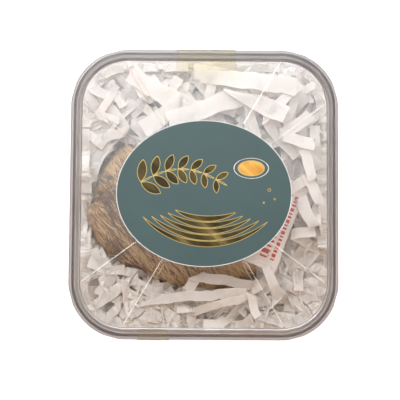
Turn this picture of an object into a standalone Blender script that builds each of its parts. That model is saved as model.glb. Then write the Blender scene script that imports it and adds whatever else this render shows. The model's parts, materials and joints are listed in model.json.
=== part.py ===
"""A boxed edible bird's nest: a half-cup nest, hollow side down, on shredded paper in a clear lidded box.

Metres, +Z up. The origin is the middle of the box's underside, +X is the box's right and -Y its front.
"""

import math
import random

import bmesh
import bpy
import numpy as np
from mathutils import Matrix, Vector
from mathutils.bvhtree import BVHTree

MM = 0.001

# Box
BOX_WIDTH = 150 * MM
BOX_DEPTH = 162 * MM
LID_TOP = 46 * MM
CORNER_RADIUS = 32 * MM
CORNER_STEPS = 6
WALL = 1.0 * MM
GAP = 0.3 * MM

# Lid, as insets from the box's outer edge and drops from the lid's top
SKIRT_HEIGHT = 11.5 * MM
SKIRT_DRAFT = 0.5 * MM
LEDGE_DROP = 2.0 * MM
LEDGE_INSET = 3.4 * MM
CROWN_INSET = 5.4 * MM
PANEL_INSET = 7.2 * MM
PANEL_DROP = 0.6 * MM

# Tray
TRAY_TOP = LID_TOP - LEDGE_DROP - WALL - GAP
TRAY_INSET = SKIRT_DRAFT + WALL + 0.6 * MM
TRAY_DRAFT = 2.4 * MM
TRAY_FOOT_RADIUS = 3.0 * MM

# Ribs that run out over the lid's panel from the label
RIB_ANGLES = (36.5, 59.5, 120.5, 143.5, 216.5, 239.5, 300.5, 323.5)
RIB_WIDTH = 1.7 * MM
RIB_CREST = 0.5 * MM
RIB_HEIGHT = 0.5 * MM
RIB_ROOT = 0.4 * MM
RIB_END_MARGIN = 1.2 * MM

# Label
LABEL_WIDTH = 97.0 * MM
LABEL_DEPTH = 81.0 * MM
LABEL_THICKNESS = 0.2 * MM

# Nest: the middle of its straight back edge, the way that edge runs, and its radius at equal angles
NEST_CENTRE = Vector((-6.2 * MM, -6.4 * MM, 0))
NEST_EDGE_ANGLE = math.radians(-43.4)
NEST_RADII = (55.5 * MM, 50.0 * MM, 46.5 * MM, 49.8 * MM, 61.5 * MM, 58.8 * MM, 57.3 * MM)
NEST_REST = 12.0 * MM
NEST_RISE = 26.0 * MM
NEST_RIM_WALL = 5.0 * MM
NEST_FOOT_WALL = 4.0 * MM
NEST_CROWN_WALL = 4.2 * MM
NEST_ROUNDNESS = 2.5
NEST_FOOT_TAPER = 6
NEST_ANGLE_STEPS = 42
NEST_RADIUS_STEPS = 11
STRAND_RELIEF = 0.55 * MM
STRAND_SPACING = 13 * MM
STRAND_SLANT = math.radians(-60)
STRAND_SWAY = 4.0 * MM
STRAND_SWAY_LENGTH = 52 * MM
STRAND_EDGE_FADE = 6.0

# Paper bed
BED_FLOOR = WALL + GAP
BED_SIDE_GAP = 0.8 * MM
BED_EDGE_HEIGHT = 24.0 * MM
BED_FAR_EXTRA = 5.0 * MM
BED_LUMPS = 1.4 * MM
BED_LUMP_LENGTHS = (30 * MM, 33 * MM, 15 * MM)
BED_HOLLOW_MARGIN = 9.5 * MM
BED_HOLLOW_SLOPE = 11.0 * MM
BED_ANGLE_STEPS = 48
BED_RADIUS_STEPS = 11

# Desiccant sachet
SACHET_LENGTH = 52 * MM
SACHET_WIDTH = 33 * MM
SACHET_BULGE = 4.0 * MM
SACHET_SEAL = 0.5 * MM
SACHET_CRIMP = 5.0 * MM
SACHET_CUSHION = 2.2
SACHET_PINCH = 0.05
SACHET_CENTRE = (34.5 * MM, -13.5 * MM)
SACHET_ANGLE = math.radians(68)
SACHET_TILT = math.radians(9)
SACHET_STEPS = (12, 6)

# Paper strips
STRIP_WIDTH = 5.8 * MM
WIDE_STRIP_WIDTH = 10.5 * MM
STRIP_THICKNESS = 0.35 * MM
STRIP_COVER = 0.75 * STRIP_THICKNESS
STRIP_CLEAR = GAP + STRIP_COVER
STRIP_TILT = 0.45
STRIP_STEP = 5.0 * MM
STRIP_MARGIN = 9.0 * MM
STRIP_NEST_MARGIN = 7.0 * MM
PILE_CELL = 1.0 * MM
PILE_LIMIT = 42.2 * MM

# Seal tapes: middle, width, how far in over the lid they start, and how far down the wall they reach
TAPE_THICKNESS = 0.15 * MM
BACK_TAPE = {"middle": 0.8 * MM, "width": 33 * MM, "reach_in": 12.5 * MM, "end_height": 22 * MM}
FRONT_TAPE = {"middle": -27.5 * MM, "width": 17 * MM, "reach_in": 5.0 * MM, "end_height": 20 * MM}

COLLECTION = "boxed_birds_nest"


def clear_scene():
    for old in list(bpy.data.objects):
        bpy.data.objects.remove(old, do_unlink=True)


def new_collection(name):
    collection = bpy.data.collections.new(name)
    bpy.context.scene.collection.children.link(collection)
    return collection


def material(name, colour, roughness, metallic=0.0, alpha=1.0, transmission=0.0):
    made = bpy.data.materials.new(name)
    made.use_nodes = True
    shader = made.node_tree.nodes["Principled BSDF"]
    shader.inputs["Base Color"].default_value = (*colour, 1.0)
    shader.inputs["Roughness"].default_value = roughness
    shader.inputs["Metallic"].default_value = metallic
    shader.inputs["Alpha"].default_value = alpha
    shader.inputs["Transmission Weight"].default_value = transmission
    return made


def place(mesh, name, collection, finish, smooth_angle=None):
    """A new object for the mesh, in its collection and with its material."""
    made = bpy.data.objects.new(name, mesh)
    collection.objects.link(made)
    mesh.materials.append(finish)
    if smooth_angle is not None:
        mesh.shade_smooth()
        mesh.set_sharp_from_angle(angle=math.radians(smooth_angle))
    return made


def mesh_of(points, faces, name):
    """A mesh from rows of points, with any that coincide made one."""
    mesh = bpy.data.meshes.new(name)
    mesh.from_pydata([tuple(point) for point in points], [], faces)
    shape = bmesh.new()
    shape.from_mesh(mesh)
    bmesh.ops.remove_doubles(shape, verts=shape.verts, dist=1e-6)
    bmesh.ops.dissolve_degenerate(shape, edges=shape.edges, dist=1e-7)
    shape.to_mesh(mesh)
    shape.free()
    return mesh


def rounded_outline(half_width, half_depth, radius):
    """A rounded rectangle, counter-clockwise seen from above."""
    points = []
    for corner, (side_x, side_y) in enumerate(((1, 1), (-1, 1), (-1, -1), (1, -1))):
        for step in range(CORNER_STEPS + 1):
            angle = math.pi / 2 * (corner + step / CORNER_STEPS)
            x = side_x * (half_width - radius) + radius * math.cos(angle)
            y = side_y * (half_depth - radius) + radius * math.sin(angle)
            points.append((x, y))
    return points


def box_ring(inset, height):
    """The box's outline, drawn in by an inset, at a height."""
    outline = rounded_outline(BOX_WIDTH / 2 - inset, BOX_DEPTH / 2 - inset, CORNER_RADIUS - inset)
    return [(x, y, height) for x, y in outline]


def lofted_shell(name, rings, cap_first, cap_last):
    """An open shell through rings that run from its lower, outer edge to its upper, inner one."""
    count = len(rings[0])
    points = [point for ring in rings for point in ring]
    faces = []
    for level in range(len(rings) - 1):
        low, high = level * count, (level + 1) * count
        for i in range(count):
            j = (i + 1) % count
            faces.append((low + i, low + j, high + j, high + i))
    if cap_first:
        faces.append(tuple(reversed(range(count))))
    if cap_last:
        last = (len(rings) - 1) * count
        faces.append(tuple(range(last, last + count)))
    return mesh_of(points, faces, name)


def add_wall(shell):
    """Gives an open shell its wall thickness, inwards."""
    wall = shell.modifiers.new("wall", "SOLIDIFY")
    wall.thickness = WALL
    wall.offset = -1
    wall.use_even_offset = True


def tray_inset(height):
    """How far the tray's outer face lies inside the box's outline at a height."""
    return TRAY_INSET + TRAY_DRAFT * (1 - height / TRAY_TOP)


def make_tray(collection, finish):
    rings = []
    for step in range(4):
        angle = math.pi / 2 * step / 3
        height = TRAY_FOOT_RADIUS * (1 - math.cos(angle))
        inset = tray_inset(TRAY_FOOT_RADIUS) + TRAY_FOOT_RADIUS * (1 - math.sin(angle))
        rings.append(box_ring(inset, height))
    rings.append(box_ring(tray_inset(TRAY_TOP / 2), TRAY_TOP / 2))
    rings.append(box_ring(tray_inset(TRAY_TOP), TRAY_TOP))
    tray = place(lofted_shell("box_tray", rings, True, False), "box_tray", collection, finish, 35)
    add_wall(tray)
    return tray


def lid_profile():
    """The lid's section from the skirt's lower edge in to the panel, as insets and drops."""
    return [
        (0.0, SKIRT_HEIGHT),
        (SKIRT_DRAFT, LEDGE_DROP + 1.3 * MM),
        (SKIRT_DRAFT + 0.4 * MM, LEDGE_DROP + 0.4 * MM),
        (SKIRT_DRAFT + 1.3 * MM, LEDGE_DROP),
        (LEDGE_INSET, LEDGE_DROP),
        (LEDGE_INSET + 0.8 * MM, LEDGE_DROP - 0.4 * MM),
        (CROWN_INSET - 0.6 * MM, 0.4 * MM),
        (CROWN_INSET, 0.0),
        (PANEL_INSET - 0.5 * MM, 0.0),
        (PANEL_INSET, PANEL_DROP),
    ]


def label_radius(angle):
    """How far the label's edge is from its middle."""
    across = math.cos(angle) / (LABEL_WIDTH / 2)
    along = math.sin(angle) / (LABEL_DEPTH / 2)
    return 1 / math.hypot(across, along)


def outline_radius(angle, inset):
    """How far the box's outline, drawn in by an inset, is from its middle in one direction."""
    direction = Vector((math.cos(angle), math.sin(angle)))
    half = Vector((BOX_WIDTH / 2 - inset, BOX_DEPTH / 2 - inset))
    radius = CORNER_RADIUS - inset
    side = Vector((abs(direction.x), abs(direction.y)))
    flat = min(half.x / max(side.x, 1e-9), half.y / max(side.y, 1e-9))
    corner = half - Vector((radius, radius))
    hit = side * flat
    if hit.x <= corner.x or hit.y <= corner.y:
        return flat
    middle = side.dot(corner)
    return middle + math.sqrt(max(0.0, middle**2 - corner.length_squared + radius**2))


def rib_shapes():
    """The lid's ribs as one mesh of separate bars, each sunk a little into the panel."""
    shape = bmesh.new()
    panel = LID_TOP - PANEL_DROP
    for degrees in RIB_ANGLES:
        angle = math.radians(degrees)
        start = label_radius(angle) + RIB_END_MARGIN
        end = outline_radius(angle, PANEL_INSET) - RIB_END_MARGIN
        bar = bmesh.ops.create_cube(shape, size=1)["verts"]
        height = RIB_HEIGHT + RIB_ROOT
        bmesh.ops.scale(shape, verts=bar, vec=(end - start, RIB_WIDTH, height))
        for corner in bar:
            if corner.co.z > 0:
                corner.co.y *= RIB_CREST / RIB_WIDTH
        middle = Vector(((start + end) / 2, 0, panel - RIB_ROOT + height / 2))
        bmesh.ops.translate(shape, verts=bar, vec=middle)
        bmesh.ops.rotate(shape, verts=bar, cent=(0, 0, 0), matrix=Matrix.Rotation(angle, 3, "Z"))
    mesh = bpy.data.meshes.new("lid_ribs")
    shape.to_mesh(mesh)
    shape.free()
    return mesh


def make_lid(collection, helpers, finish):
    rings = [box_ring(inset, LID_TOP - drop) for inset, drop in lid_profile()]
    lid = place(lofted_shell("lid", rings, False, True), "lid", collection, finish, 35)
    add_wall(lid)
    ribs = bpy.data.objects.new("lid_ribs", rib_shapes())
    helpers.objects.link(ribs)
    ribs.hide_render = True
    ribs.display_type = "WIRE"
    joined = lid.modifiers.new("ribs", "BOOLEAN")
    joined.operation = "UNION"
    joined.object = ribs
    return lid


def make_label(collection, finish):
    """An oval sticker on the lid's panel."""
    curve = bpy.data.curves.new("label", "CURVE")
    curve.dimensions = "2D"
    curve.fill_mode = "BOTH"
    curve.extrude = LABEL_THICKNESS / 2
    steps = 48
    edge = curve.splines.new("POLY")
    edge.points.add(steps - 1)
    for i, point in enumerate(edge.points):
        angle = 2 * math.pi * i / steps
        point.co = (LABEL_WIDTH / 2 * math.cos(angle), LABEL_DEPTH / 2 * math.sin(angle), 0, 1)
    edge.use_cyclic_u = True
    label = bpy.data.objects.new("label", curve)
    collection.objects.link(label)
    curve.materials.append(finish)
    label.location.z = LID_TOP - PANEL_DROP + GAP + LABEL_THICKNESS / 2
    return label


def smooth_value(values, place_along):
    """A smooth curve through equally spaced values, read at a place from 0 to 1."""
    spans = len(values) - 1
    along = min(max(place_along, 0.0), 1.0) * spans
    i = min(int(along), spans - 1)
    t = along - i
    before, here = values[max(i - 1, 0)], values[i]
    after, beyond = values[i + 1], values[min(i + 2, spans)]
    slope, bend = after - before, 2 * before - 5 * here + 4 * after - beyond
    twist = 3 * (here - after) + beyond - before
    return here + 0.5 * t * (slope + t * (bend + t * twist))


def nest_axes():
    edge = Vector((math.cos(NEST_EDGE_ANGLE), math.sin(NEST_EDGE_ANGLE), 0))
    outward = Vector((edge.y, -edge.x, 0))
    return edge, outward


def nest_point(angle, share, wall_share):
    """A point of the nest's outer face, or of its inner face where wall_share is 1."""
    edge, outward = nest_axes()
    radius = smooth_value(NEST_RADII, angle / math.pi)
    foot = abs(math.cos(angle)) ** NEST_FOOT_TAPER
    rim_wall = (NEST_RIM_WALL + NEST_FOOT_WALL * foot) * wall_share
    crown_wall = NEST_CROWN_WALL * wall_share
    rounded = max(0.0, 1 - share**NEST_ROUNDNESS) ** (1 / NEST_ROUNDNESS)
    reach = (radius - rim_wall) * share
    flat = NEST_CENTRE + reach * (math.cos(angle) * edge + math.sin(angle) * outward)
    height = NEST_REST + GAP + (NEST_RISE - crown_wall) * rounded
    if wall_share == 0:
        across = flat.x * math.cos(STRAND_SLANT) + flat.y * math.sin(STRAND_SLANT)
        sway = STRAND_SWAY * math.sin(2 * math.pi * flat.x / STRAND_SWAY_LENGTH)
        fade = min(1.0, STRAND_EDGE_FADE * (1 - share))
        relief = STRAND_RELIEF * fade * math.sin(2 * math.pi * (across + sway) / STRAND_SPACING)
        height += relief * rounded
        flat += relief * share * (math.cos(angle) * edge + math.sin(angle) * outward) * (1 - rounded)
    return Vector((flat.x, flat.y, height))


def nest_grid(wall_share):
    rows = []
    for i in range(NEST_ANGLE_STEPS + 1):
        angle = math.pi * i / NEST_ANGLE_STEPS
        row = []
        for j in range(NEST_RADIUS_STEPS + 1):
            share = math.sin(math.pi / 2 * j / NEST_RADIUS_STEPS)
            row.append(nest_point(angle, share, wall_share))
        rows.append(row)
    return rows


def make_nest(collection, finish):
    """A half-cup shell: outer and inner faces lofted round from one foot to the other."""
    outer, inner = nest_grid(0), nest_grid(1)
    rows, columns = NEST_ANGLE_STEPS + 1, NEST_RADIUS_STEPS + 1
    points = [point for row in outer + inner for point in row]
    inside = rows * columns
    faces = []
    for i in range(rows - 1):
        for j in range(columns - 1):
            a, b = i * columns + j, (i + 1) * columns + j
            faces.append((a, b, b + 1, a + 1))
            faces.append((inside + a, inside + a + 1, inside + b + 1, inside + b))
        rim, next_rim = i * columns + columns - 1, (i + 1) * columns + columns - 1
        faces.append((rim, next_rim, inside + next_rim, inside + rim))
    last = (rows - 1) * columns
    for j in range(columns - 1):
        faces.append((j, j + 1, inside + j + 1, inside + j))
        faces.append((last + j, inside + last + j, inside + last + j + 1, last + j + 1))
    return place(mesh_of(points, faces, "nest"), "nest", collection, finish, 60)


def nest_clearance(x, y):
    """How far a place is outside the nest's outline; below 0 inside it."""
    edge, outward = nest_axes()
    offset = Vector((x, y, 0)) - NEST_CENTRE
    across, out = offset.dot(edge), offset.dot(outward)
    angle = math.atan2(max(out, 0.0), across)
    radius = smooth_value(NEST_RADII, angle / math.pi)
    return max(-out, math.hypot(across, out) - radius)


def smooth_step(low, high, value):
    t = min(max((value - low) / (high - low), 0.0), 1.0)
    return t * t * (3 - 2 * t)


def bed_height(x, y):
    """The paper bed's top: high along the box's sides and far end, hollowed where the nest lies."""
    far = smooth_step(0.0, BOX_DEPTH / 2, y)
    along_x, along_y, slanted = (2 * math.pi / length for length in BED_LUMP_LENGTHS)
    lumps = math.sin(along_x * x + 1.3) * math.sin(along_y * y + 0.4)
    lumps += 0.6 * math.sin(slanted * (0.78 * x - 0.62 * y))
    open_height = BED_EDGE_HEIGHT + BED_FAR_EXTRA * far + BED_LUMPS * lumps
    away = smooth_step(BED_HOLLOW_MARGIN, BED_HOLLOW_MARGIN + BED_HOLLOW_SLOPE, nest_clearance(x, y))
    return NEST_REST + (open_height - NEST_REST) * away


def bed_rings():
    """Rings of the bed's top surface, from its middle out to the tray's wall."""
    rings = []
    for level in range(1, BED_RADIUS_STEPS + 1):
        ring = []
        for i in range(BED_ANGLE_STEPS):
            angle = 2 * math.pi * (i + 0.5) / BED_ANGLE_STEPS
            inset = tray_inset(NEST_REST) + WALL + BED_SIDE_GAP
            reach = outline_radius(angle, inset) * level / BED_RADIUS_STEPS
            x, y = reach * math.cos(angle), reach * math.sin(angle)
            ring.append(Vector((x, y, bed_height(x, y))))
        rings.append(ring)
    return rings


def make_bed(collection, finish):
    """The shredded paper as one mound, closed under it by the tray's floor."""
    rings = bed_rings()
    foot = []
    for point in rings[-1]:
        angle = math.atan2(point.y, point.x)
        inset = tray_inset(0) + WALL + BED_SIDE_GAP + TRAY_FOOT_RADIUS
        reach = outline_radius(angle, inset)
        foot.append(Vector((reach * math.cos(angle), reach * math.sin(angle), BED_FLOOR)))
    knee = [Vector((p.x, p.y, BED_FLOOR + TRAY_FOOT_RADIUS)) for p in rings[-1]]
    levels = [foot, knee] + rings[::-1]
    bed = lofted_shell("paper_bed", levels, True, True)
    return place(bed, "paper_bed", collection, finish, 25)


class Pile:
    """The height of what lies in the tray so far, on a square grid of cells."""

    def __init__(self):
        self.columns = int(BOX_WIDTH / PILE_CELL) + 3
        self.rows = int(BOX_DEPTH / PILE_CELL) + 3
        self.top = np.full((self.columns, self.rows), BED_FLOOR)

    def cell(self, x, y):
        column = int(round((x + BOX_WIDTH / 2) / PILE_CELL)) + 1
        row = int(round((y + BOX_DEPTH / 2) / PILE_CELL)) + 1
        return min(max(column, 1), self.columns - 2), min(max(row, 1), self.rows - 2)

    def samples(self, a, b, c, d):
        """Points spread over a four-cornered patch, a cell or less apart."""
        along = max((b - a).length, (c - d).length)
        across = max((d - a).length, (c - b).length)
        steps_u = max(2, int(along / PILE_CELL * 1.6) + 1)
        steps_v = max(2, int(across / PILE_CELL * 1.6) + 1)
        for i in range(steps_u + 1):
            near, far = a.lerp(b, i / steps_u), d.lerp(c, i / steps_u)
            for j in range(steps_v + 1):
                yield near.lerp(far, j / steps_v)

    def cover(self, a, b, c, d, over):
        """Raises the pile to a patch that now lies on it, with half a thickness over it."""
        for point in self.samples(a, b, c, d):
            column, row = self.cell(point.x, point.y)
            self.top[column, row] = max(self.top[column, row], point.z + over)

    def under(self, a, b, c, d):
        """The highest the pile reaches under a patch and just beside it."""
        highest = 0.0
        for point in self.samples(a, b, c, d):
            column, row = self.cell(point.x, point.y)
            near = self.top[column - 1 : column + 2, row - 1 : row + 2]
            highest = max(highest, float(near.max()))
        return highest

    def cover_grid(self, rows, over):
        for first, second in zip(rows, rows[1:]):
            for i in range(len(first) - 1):
                self.cover(first[i], first[i + 1], second[i + 1], second[i], over)


def sachet_grid(side):
    """One face of the sachet, flat at its seals and full in the middle, about its own middle."""
    rows = []
    steps_u, steps_v = SACHET_STEPS
    for i in range(steps_u + 1):
        u = 2 * i / steps_u - 1
        row = []
        for j in range(steps_v + 1):
            v = 2 * j / steps_v - 1
            from_end = (1 - abs(u)) * SACHET_LENGTH / 2
            filled = smooth_step(SACHET_CRIMP, 4 * SACHET_CRIMP, from_end)
            fullness = (1 - abs(v) ** SACHET_CUSHION) * filled
            height = side * (SACHET_SEAL / 2 + SACHET_BULGE / 2 * fullness)
            pinch = 1 - SACHET_PINCH * filled
            row.append(Vector((u * SACHET_LENGTH / 2, v * SACHET_WIDTH / 2 * pinch, height)))
        rows.append(row)
    return rows


def make_sachet(collection, finish, pile):
    """A flat packet that leans on the nest's back edge and the paper beside it."""
    turn = Matrix.Rotation(SACHET_ANGLE, 4, "Z") @ Matrix.Rotation(SACHET_TILT, 4, "X")
    middle = Matrix.Translation((*SACHET_CENTRE, 0))
    faces_up = [[middle @ turn @ p for p in row] for row in sachet_grid(1)]
    faces_down = [[middle @ turn @ p for p in row] for row in sachet_grid(-1)]
    lift = -1.0
    for first, second in zip(faces_down, faces_down[1:]):
        for i in range(len(first) - 1):
            patch = (first[i], first[i + 1], second[i + 1], second[i])
            lift = max(lift, pile.under(*patch) - min(p.z for p in patch))
    raise_by = Vector((0, 0, lift + GAP))
    faces_up = [[p + raise_by for p in row] for row in faces_up]
    faces_down = [[p + raise_by for p in row] for row in faces_down]
    pile.cover_grid(faces_up, GAP)

    rows, columns = len(faces_up), len(faces_up[0])
    points = [p for row in faces_up + faces_down for p in row]
    under = rows * columns
    faces = []
    for i in range(rows - 1):
        for j in range(columns - 1):
            a, b = i * columns + j, (i + 1) * columns + j
            faces.append((a, b, b + 1, a + 1))
            faces.append((under + a, under + a + 1, under + b + 1, under + b))
    border = list(range(columns))
    border += [i * columns + columns - 1 for i in range(1, rows)]
    border += [(rows - 1) * columns + j for j in reversed(range(columns - 1))]
    border += [i * columns for i in reversed(range(1, rows - 1))]
    for a, b in zip(border, border[1:] + border[:1]):
        faces.append((a, b, under + b, under + a))
    return place(mesh_of(points, faces, "desiccant_sachet"), "desiccant_sachet", collection, finish, 50)


def raised_clear(supports):
    """A smooth line of heights that stays on or above every support."""
    wide = [max(supports[max(i - 1, 0) : i + 2]) for i in range(len(supports))]
    eased = []
    for i in range(len(wide)):
        near = wide[max(i - 1, 0) : i + 2]
        eased.append(max(sum(near) / len(near), supports[i]))
    return eased


class Strip:
    """One paper strip, laid leg by leg on the pile, with a flat fold between its legs."""

    def __init__(self, width, corners, lift_start=0.0, lift_end=0.0):
        self.width = width
        self.corners = [Vector((x, y)) for x, y in corners]
        self.lifts = (lift_start, lift_end)
        self.sections = []

    def fold_line(self, at, before, after, side):
        """The two edge points where a strip that comes in along before folds back along after."""
        line = (before + after).normalized()
        left = Vector((-before.y, before.x))
        reach = side * self.width / 2 / line.dot(left)
        return at + line * reach, at - line * reach

    def edge_pairs(self, leg, side):
        """The flat edge points of each section of a leg, from its start to its end."""
        start, end = self.corners[leg], self.corners[leg + 1]
        ahead = (end - start).normalized()
        left = Vector((-ahead.y, ahead.x)) * side * self.width / 2
        pairs = []
        margin_start = margin_end = 0.0
        if leg > 0:
            before = (start - self.corners[leg - 1]).normalized()
            pairs.append(self.fold_line(start, before, ahead, -side))
            margin_start = self.fold_margin(before, ahead)
        last_pair = None
        if leg + 2 < len(self.corners):
            after = (self.corners[leg + 2] - end).normalized()
            last_pair = self.fold_line(end, ahead, after, side)
            margin_end = self.fold_margin(ahead, after)
        length = (end - start).length - margin_start - margin_end
        steps = max(1, round(length / STRIP_STEP))
        for i in range(steps + 1):
            middle = start + ahead * (margin_start + length * i / steps)
            pairs.append((middle + left, middle - left))
        if last_pair:
            pairs.append(last_pair)
        return pairs

    def fold_margin(self, before, after):
        """How far along a leg its last square section keeps from a fold."""
        half_turn = before.angle(after) / 2
        return self.width / 2 / math.tan(half_turn) + 1.0 * MM

    def lay_leg(self, leg, side, pile):
        pairs = self.edge_pairs(leg, side)
        flat = [(Vector((a.x, a.y, 0)), Vector((b.x, b.y, 0))) for a, b in pairs]
        halves = [[], []]
        for i, (a, b) in enumerate(flat):
            middle = (a + b) / 2
            for half, edge in enumerate((a, b)):
                highest = 0.0
                for other in (i - 1, i + 1):
                    if not 0 <= other < len(flat):
                        continue
                    their_edge = flat[other][half]
                    their_middle = (flat[other][0] + flat[other][1]) / 2
                    highest = max(highest, pile.under(edge, middle, their_middle, their_edge))
                halves[half].append(highest)
        lowest = [max(pair) - self.width * STRIP_TILT for pair in zip(*halves)]
        heights = [raised_clear([max(need, low) for need, low in zip(half, lowest)]) for half in halves]
        laid = []
        for i, (a, b) in enumerate(flat):
            left, right = heights[0][i], heights[1][i]
            short = max(halves[0][i], halves[1][i]) - (left + right) / 2
            extra = max(0.0, short) + STRIP_CLEAR + self.end_lift(leg, i, len(flat))
            laid.append((a + Vector((0, 0, left + extra)), b + Vector((0, 0, right + extra))))
        for first, second in zip(laid, laid[1:]):
            pile.cover(first[0], second[0], second[1], first[1], STRIP_COVER)
        return laid

    def end_lift(self, leg, i, count):
        """A free end's rise, growing towards the end."""
        lift = 0.0
        if leg == 0:
            lift += self.lifts[0] * max(0.0, 1 - i / 3) ** 2
        if leg == len(self.corners) - 2:
            lift += self.lifts[1] * max(0.0, 1 - (count - 1 - i) / 3) ** 2
        return lift

    def lay(self, pile):
        side = 1
        for leg in range(len(self.corners) - 1):
            laid = self.lay_leg(leg, side, pile)
            if leg > 0:
                self.add_fold(leg, side, laid[0])
            for i, (a, b) in enumerate(laid):
                before = laid[max(i - 1, 0)]
                after = laid[min(i + 1, len(laid) - 1)]
                ahead = (after[0] + after[1]) - (before[0] + before[1])
                self.sections.append((a, b, ahead.cross(a - b).normalized()))
            side = -side

    def add_fold(self, leg, side, next_pair):
        """The rounded outside of a fold, between the leg below and the leg above."""
        a, b, _ = self.sections[-1]
        before = (self.corners[leg] - self.corners[leg - 1]).normalized()
        line = ((b - a).xy).normalized()
        out = Vector((-line.y, line.x))
        if out.dot(before) < 0:
            out = -out
        rise = ((next_pair[0].z - a.z) + (next_pair[1].z - b.z)) / 2
        reach = out.to_3d() * max(rise / 2, GAP)
        middle = ((a + next_pair[0]) / 2 + reach, (b + next_pair[1]) / 2 + reach)
        self.sections.append((*middle, out.to_3d() * side))

    def highest(self):
        return max(max(a.z, b.z) for a, b, _ in self.sections)

    def mesh(self, name):
        """The strip as a thin solid, with its upper and lower faces split along the same diagonals."""
        half = STRIP_THICKNESS / 2
        points = []
        for a, b, up in self.sections:
            points += [a + up * half, b + up * half, b - up * half, a - up * half]
        faces = [(3, 2, 1, 0)]
        for i in range(len(self.sections) - 1):
            low, high = 4 * i, 4 * (i + 1)
            faces.append((low, low + 1, high + 1))
            faces.append((low, high + 1, high))
            faces.append((low + 1, low + 2, high + 2, high + 1))
            faces.append((low + 2, low + 3, high + 2))
            faces.append((low + 3, high + 3, high + 2))
            faces.append((low + 3, low, high, high + 3))
        last = 4 * (len(self.sections) - 1)
        faces.append((last, last + 1, last + 2, last + 3))
        return mesh_of(points, faces, name)


# The strips that show best, each as the places where it starts, folds and ends, in millimetres
PLACED_STRIPS = (
    {"corners": ((-9, -54), (-3.5, -45.5), (40, -53.5), (35.5, -41)), "width": STRIP_WIDTH},
    {"corners": ((-44, -71), (-32, -60), (24, -54)), "width": STRIP_WIDTH},
    {"corners": ((-12, -69), (26, -55.5), (31, -68)), "width": 0.8 * STRIP_WIDTH},
    {"corners": ((66, -27), (50, -46), (61, -60)), "width": 1.1 * STRIP_WIDTH},
    {"corners": ((-58, -44), (-47, -60), (-60, -53)), "width": STRIP_WIDTH},
    {"corners": ((54, -39), (64, -31), (49, -22), (62, -21)), "width": STRIP_WIDTH},
    {"corners": ((66, 4), (63, -17), (53, -1)), "width": 1.1 * STRIP_WIDTH},
    {"corners": ((48, 3), (58, 10), (65, -6)), "width": STRIP_WIDTH},
    {"corners": ((62, 40), (64, 17), (55, 26), (61, 8)), "width": STRIP_WIDTH},
    {"corners": ((60, 46), (44, 33), (62, 28)), "width": 1.2 * STRIP_WIDTH},
    {"corners": ((-62, 58), (-44, 36), (-60, 31)), "width": STRIP_WIDTH},
    {"corners": ((-46, 50), (-52, 58), (-60, 44), (-48, 42)), "width": 0.8 * STRIP_WIDTH},
    {"corners": ((-6, 69), (52, 61)), "width": WIDE_STRIP_WIDTH},
    {"corners": ((-42, 68), (-14, 50), (-34, 36)), "width": WIDE_STRIP_WIDTH},
    {"corners": ((-20, 40), (24, 56), (46, 44)), "width": WIDE_STRIP_WIDTH},
    {"corners": ((-27, 45), (12, 67), (34, 60)), "width": 1.15 * WIDE_STRIP_WIDTH},
)
LOOSE_STRIPS = 20
LOOSE_SEED = 11


def inside_box(x, y):
    angle = math.atan2(y, x)
    return math.hypot(x, y) < outline_radius(angle, STRIP_MARGIN)


def off_sachet(x, y):
    """Whether a place keeps off the sachet's printed face."""
    offset = Vector((x - SACHET_CENTRE[0], y - SACHET_CENTRE[1]))
    along = offset.dot(Vector((math.cos(SACHET_ANGLE), math.sin(SACHET_ANGLE))))
    across = offset.dot(Vector((-math.sin(SACHET_ANGLE), math.cos(SACHET_ANGLE))))
    past_end = abs(along) > (SACHET_LENGTH + STRIP_WIDTH) / 2
    past_side = abs(across) > (SACHET_WIDTH + STRIP_WIDTH) / 2
    return past_end or past_side


def free_place(x, y):
    return inside_box(x, y) and nest_clearance(x, y) > STRIP_NEST_MARGIN and off_sachet(x, y)


def loose_strip(chance):
    """A strip of two or three legs that keeps inside the box and off the nest and the sachet."""
    while True:
        angle = chance.uniform(0, 2 * math.pi)
        reach = outline_radius(angle, STRIP_MARGIN) * chance.uniform(0.65, 0.98)
        corners = [(reach * math.cos(angle), reach * math.sin(angle))]
        heading = chance.uniform(0, 2 * math.pi)
        for _ in range(chance.randint(2, 3)):
            length = chance.uniform(14, 34) * MM
            x = corners[-1][0] + length * math.cos(heading)
            y = corners[-1][1] + length * math.sin(heading)
            corners.append((x, y))
            heading += chance.choice((-1, 1)) * math.radians(chance.uniform(75, 150))
        middles = [((a[0] + b[0]) / 2, (a[1] + b[1]) / 2) for a, b in zip(corners, corners[1:])]
        width = STRIP_WIDTH * chance.uniform(0.85, 1.1)
        lift = chance.uniform(0, 2.5) * MM
        if all(free_place(x, y) for x, y in corners + middles):
            return Strip(width, corners, 0.0, lift)


def crosses_itself(mesh):
    """Whether two faces that share no corner meet, as where a strip is folded on too steep a slope."""
    faces = [tuple(face.vertices) for face in mesh.polygons]
    tree = BVHTree.FromPolygons([corner.co for corner in mesh.vertices], faces)
    return any(set(faces[i]).isdisjoint(faces[j]) for i, j in tree.overlap(tree))


def make_strips(collection, finish, pile):
    """The strips on top of the bed: loose ones first, then the ones that show best."""
    chance = random.Random(LOOSE_SEED)
    strips = [loose_strip(chance) for _ in range(LOOSE_STRIPS)]
    for item in PLACED_STRIPS:
        corners = [(x * MM, y * MM) for x, y in item["corners"]]
        strips.append(Strip(item["width"], corners))
    number = 1
    for strip in strips:
        before = pile.top.copy()
        strip.lay(pile)
        name = f"paper_strip_{number:02d}"
        mesh = strip.mesh(name)
        if strip.highest() > PILE_LIMIT or crosses_itself(mesh):
            pile.top = before
            continue
        place(mesh, name, collection, finish)
        number += 1


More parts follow.
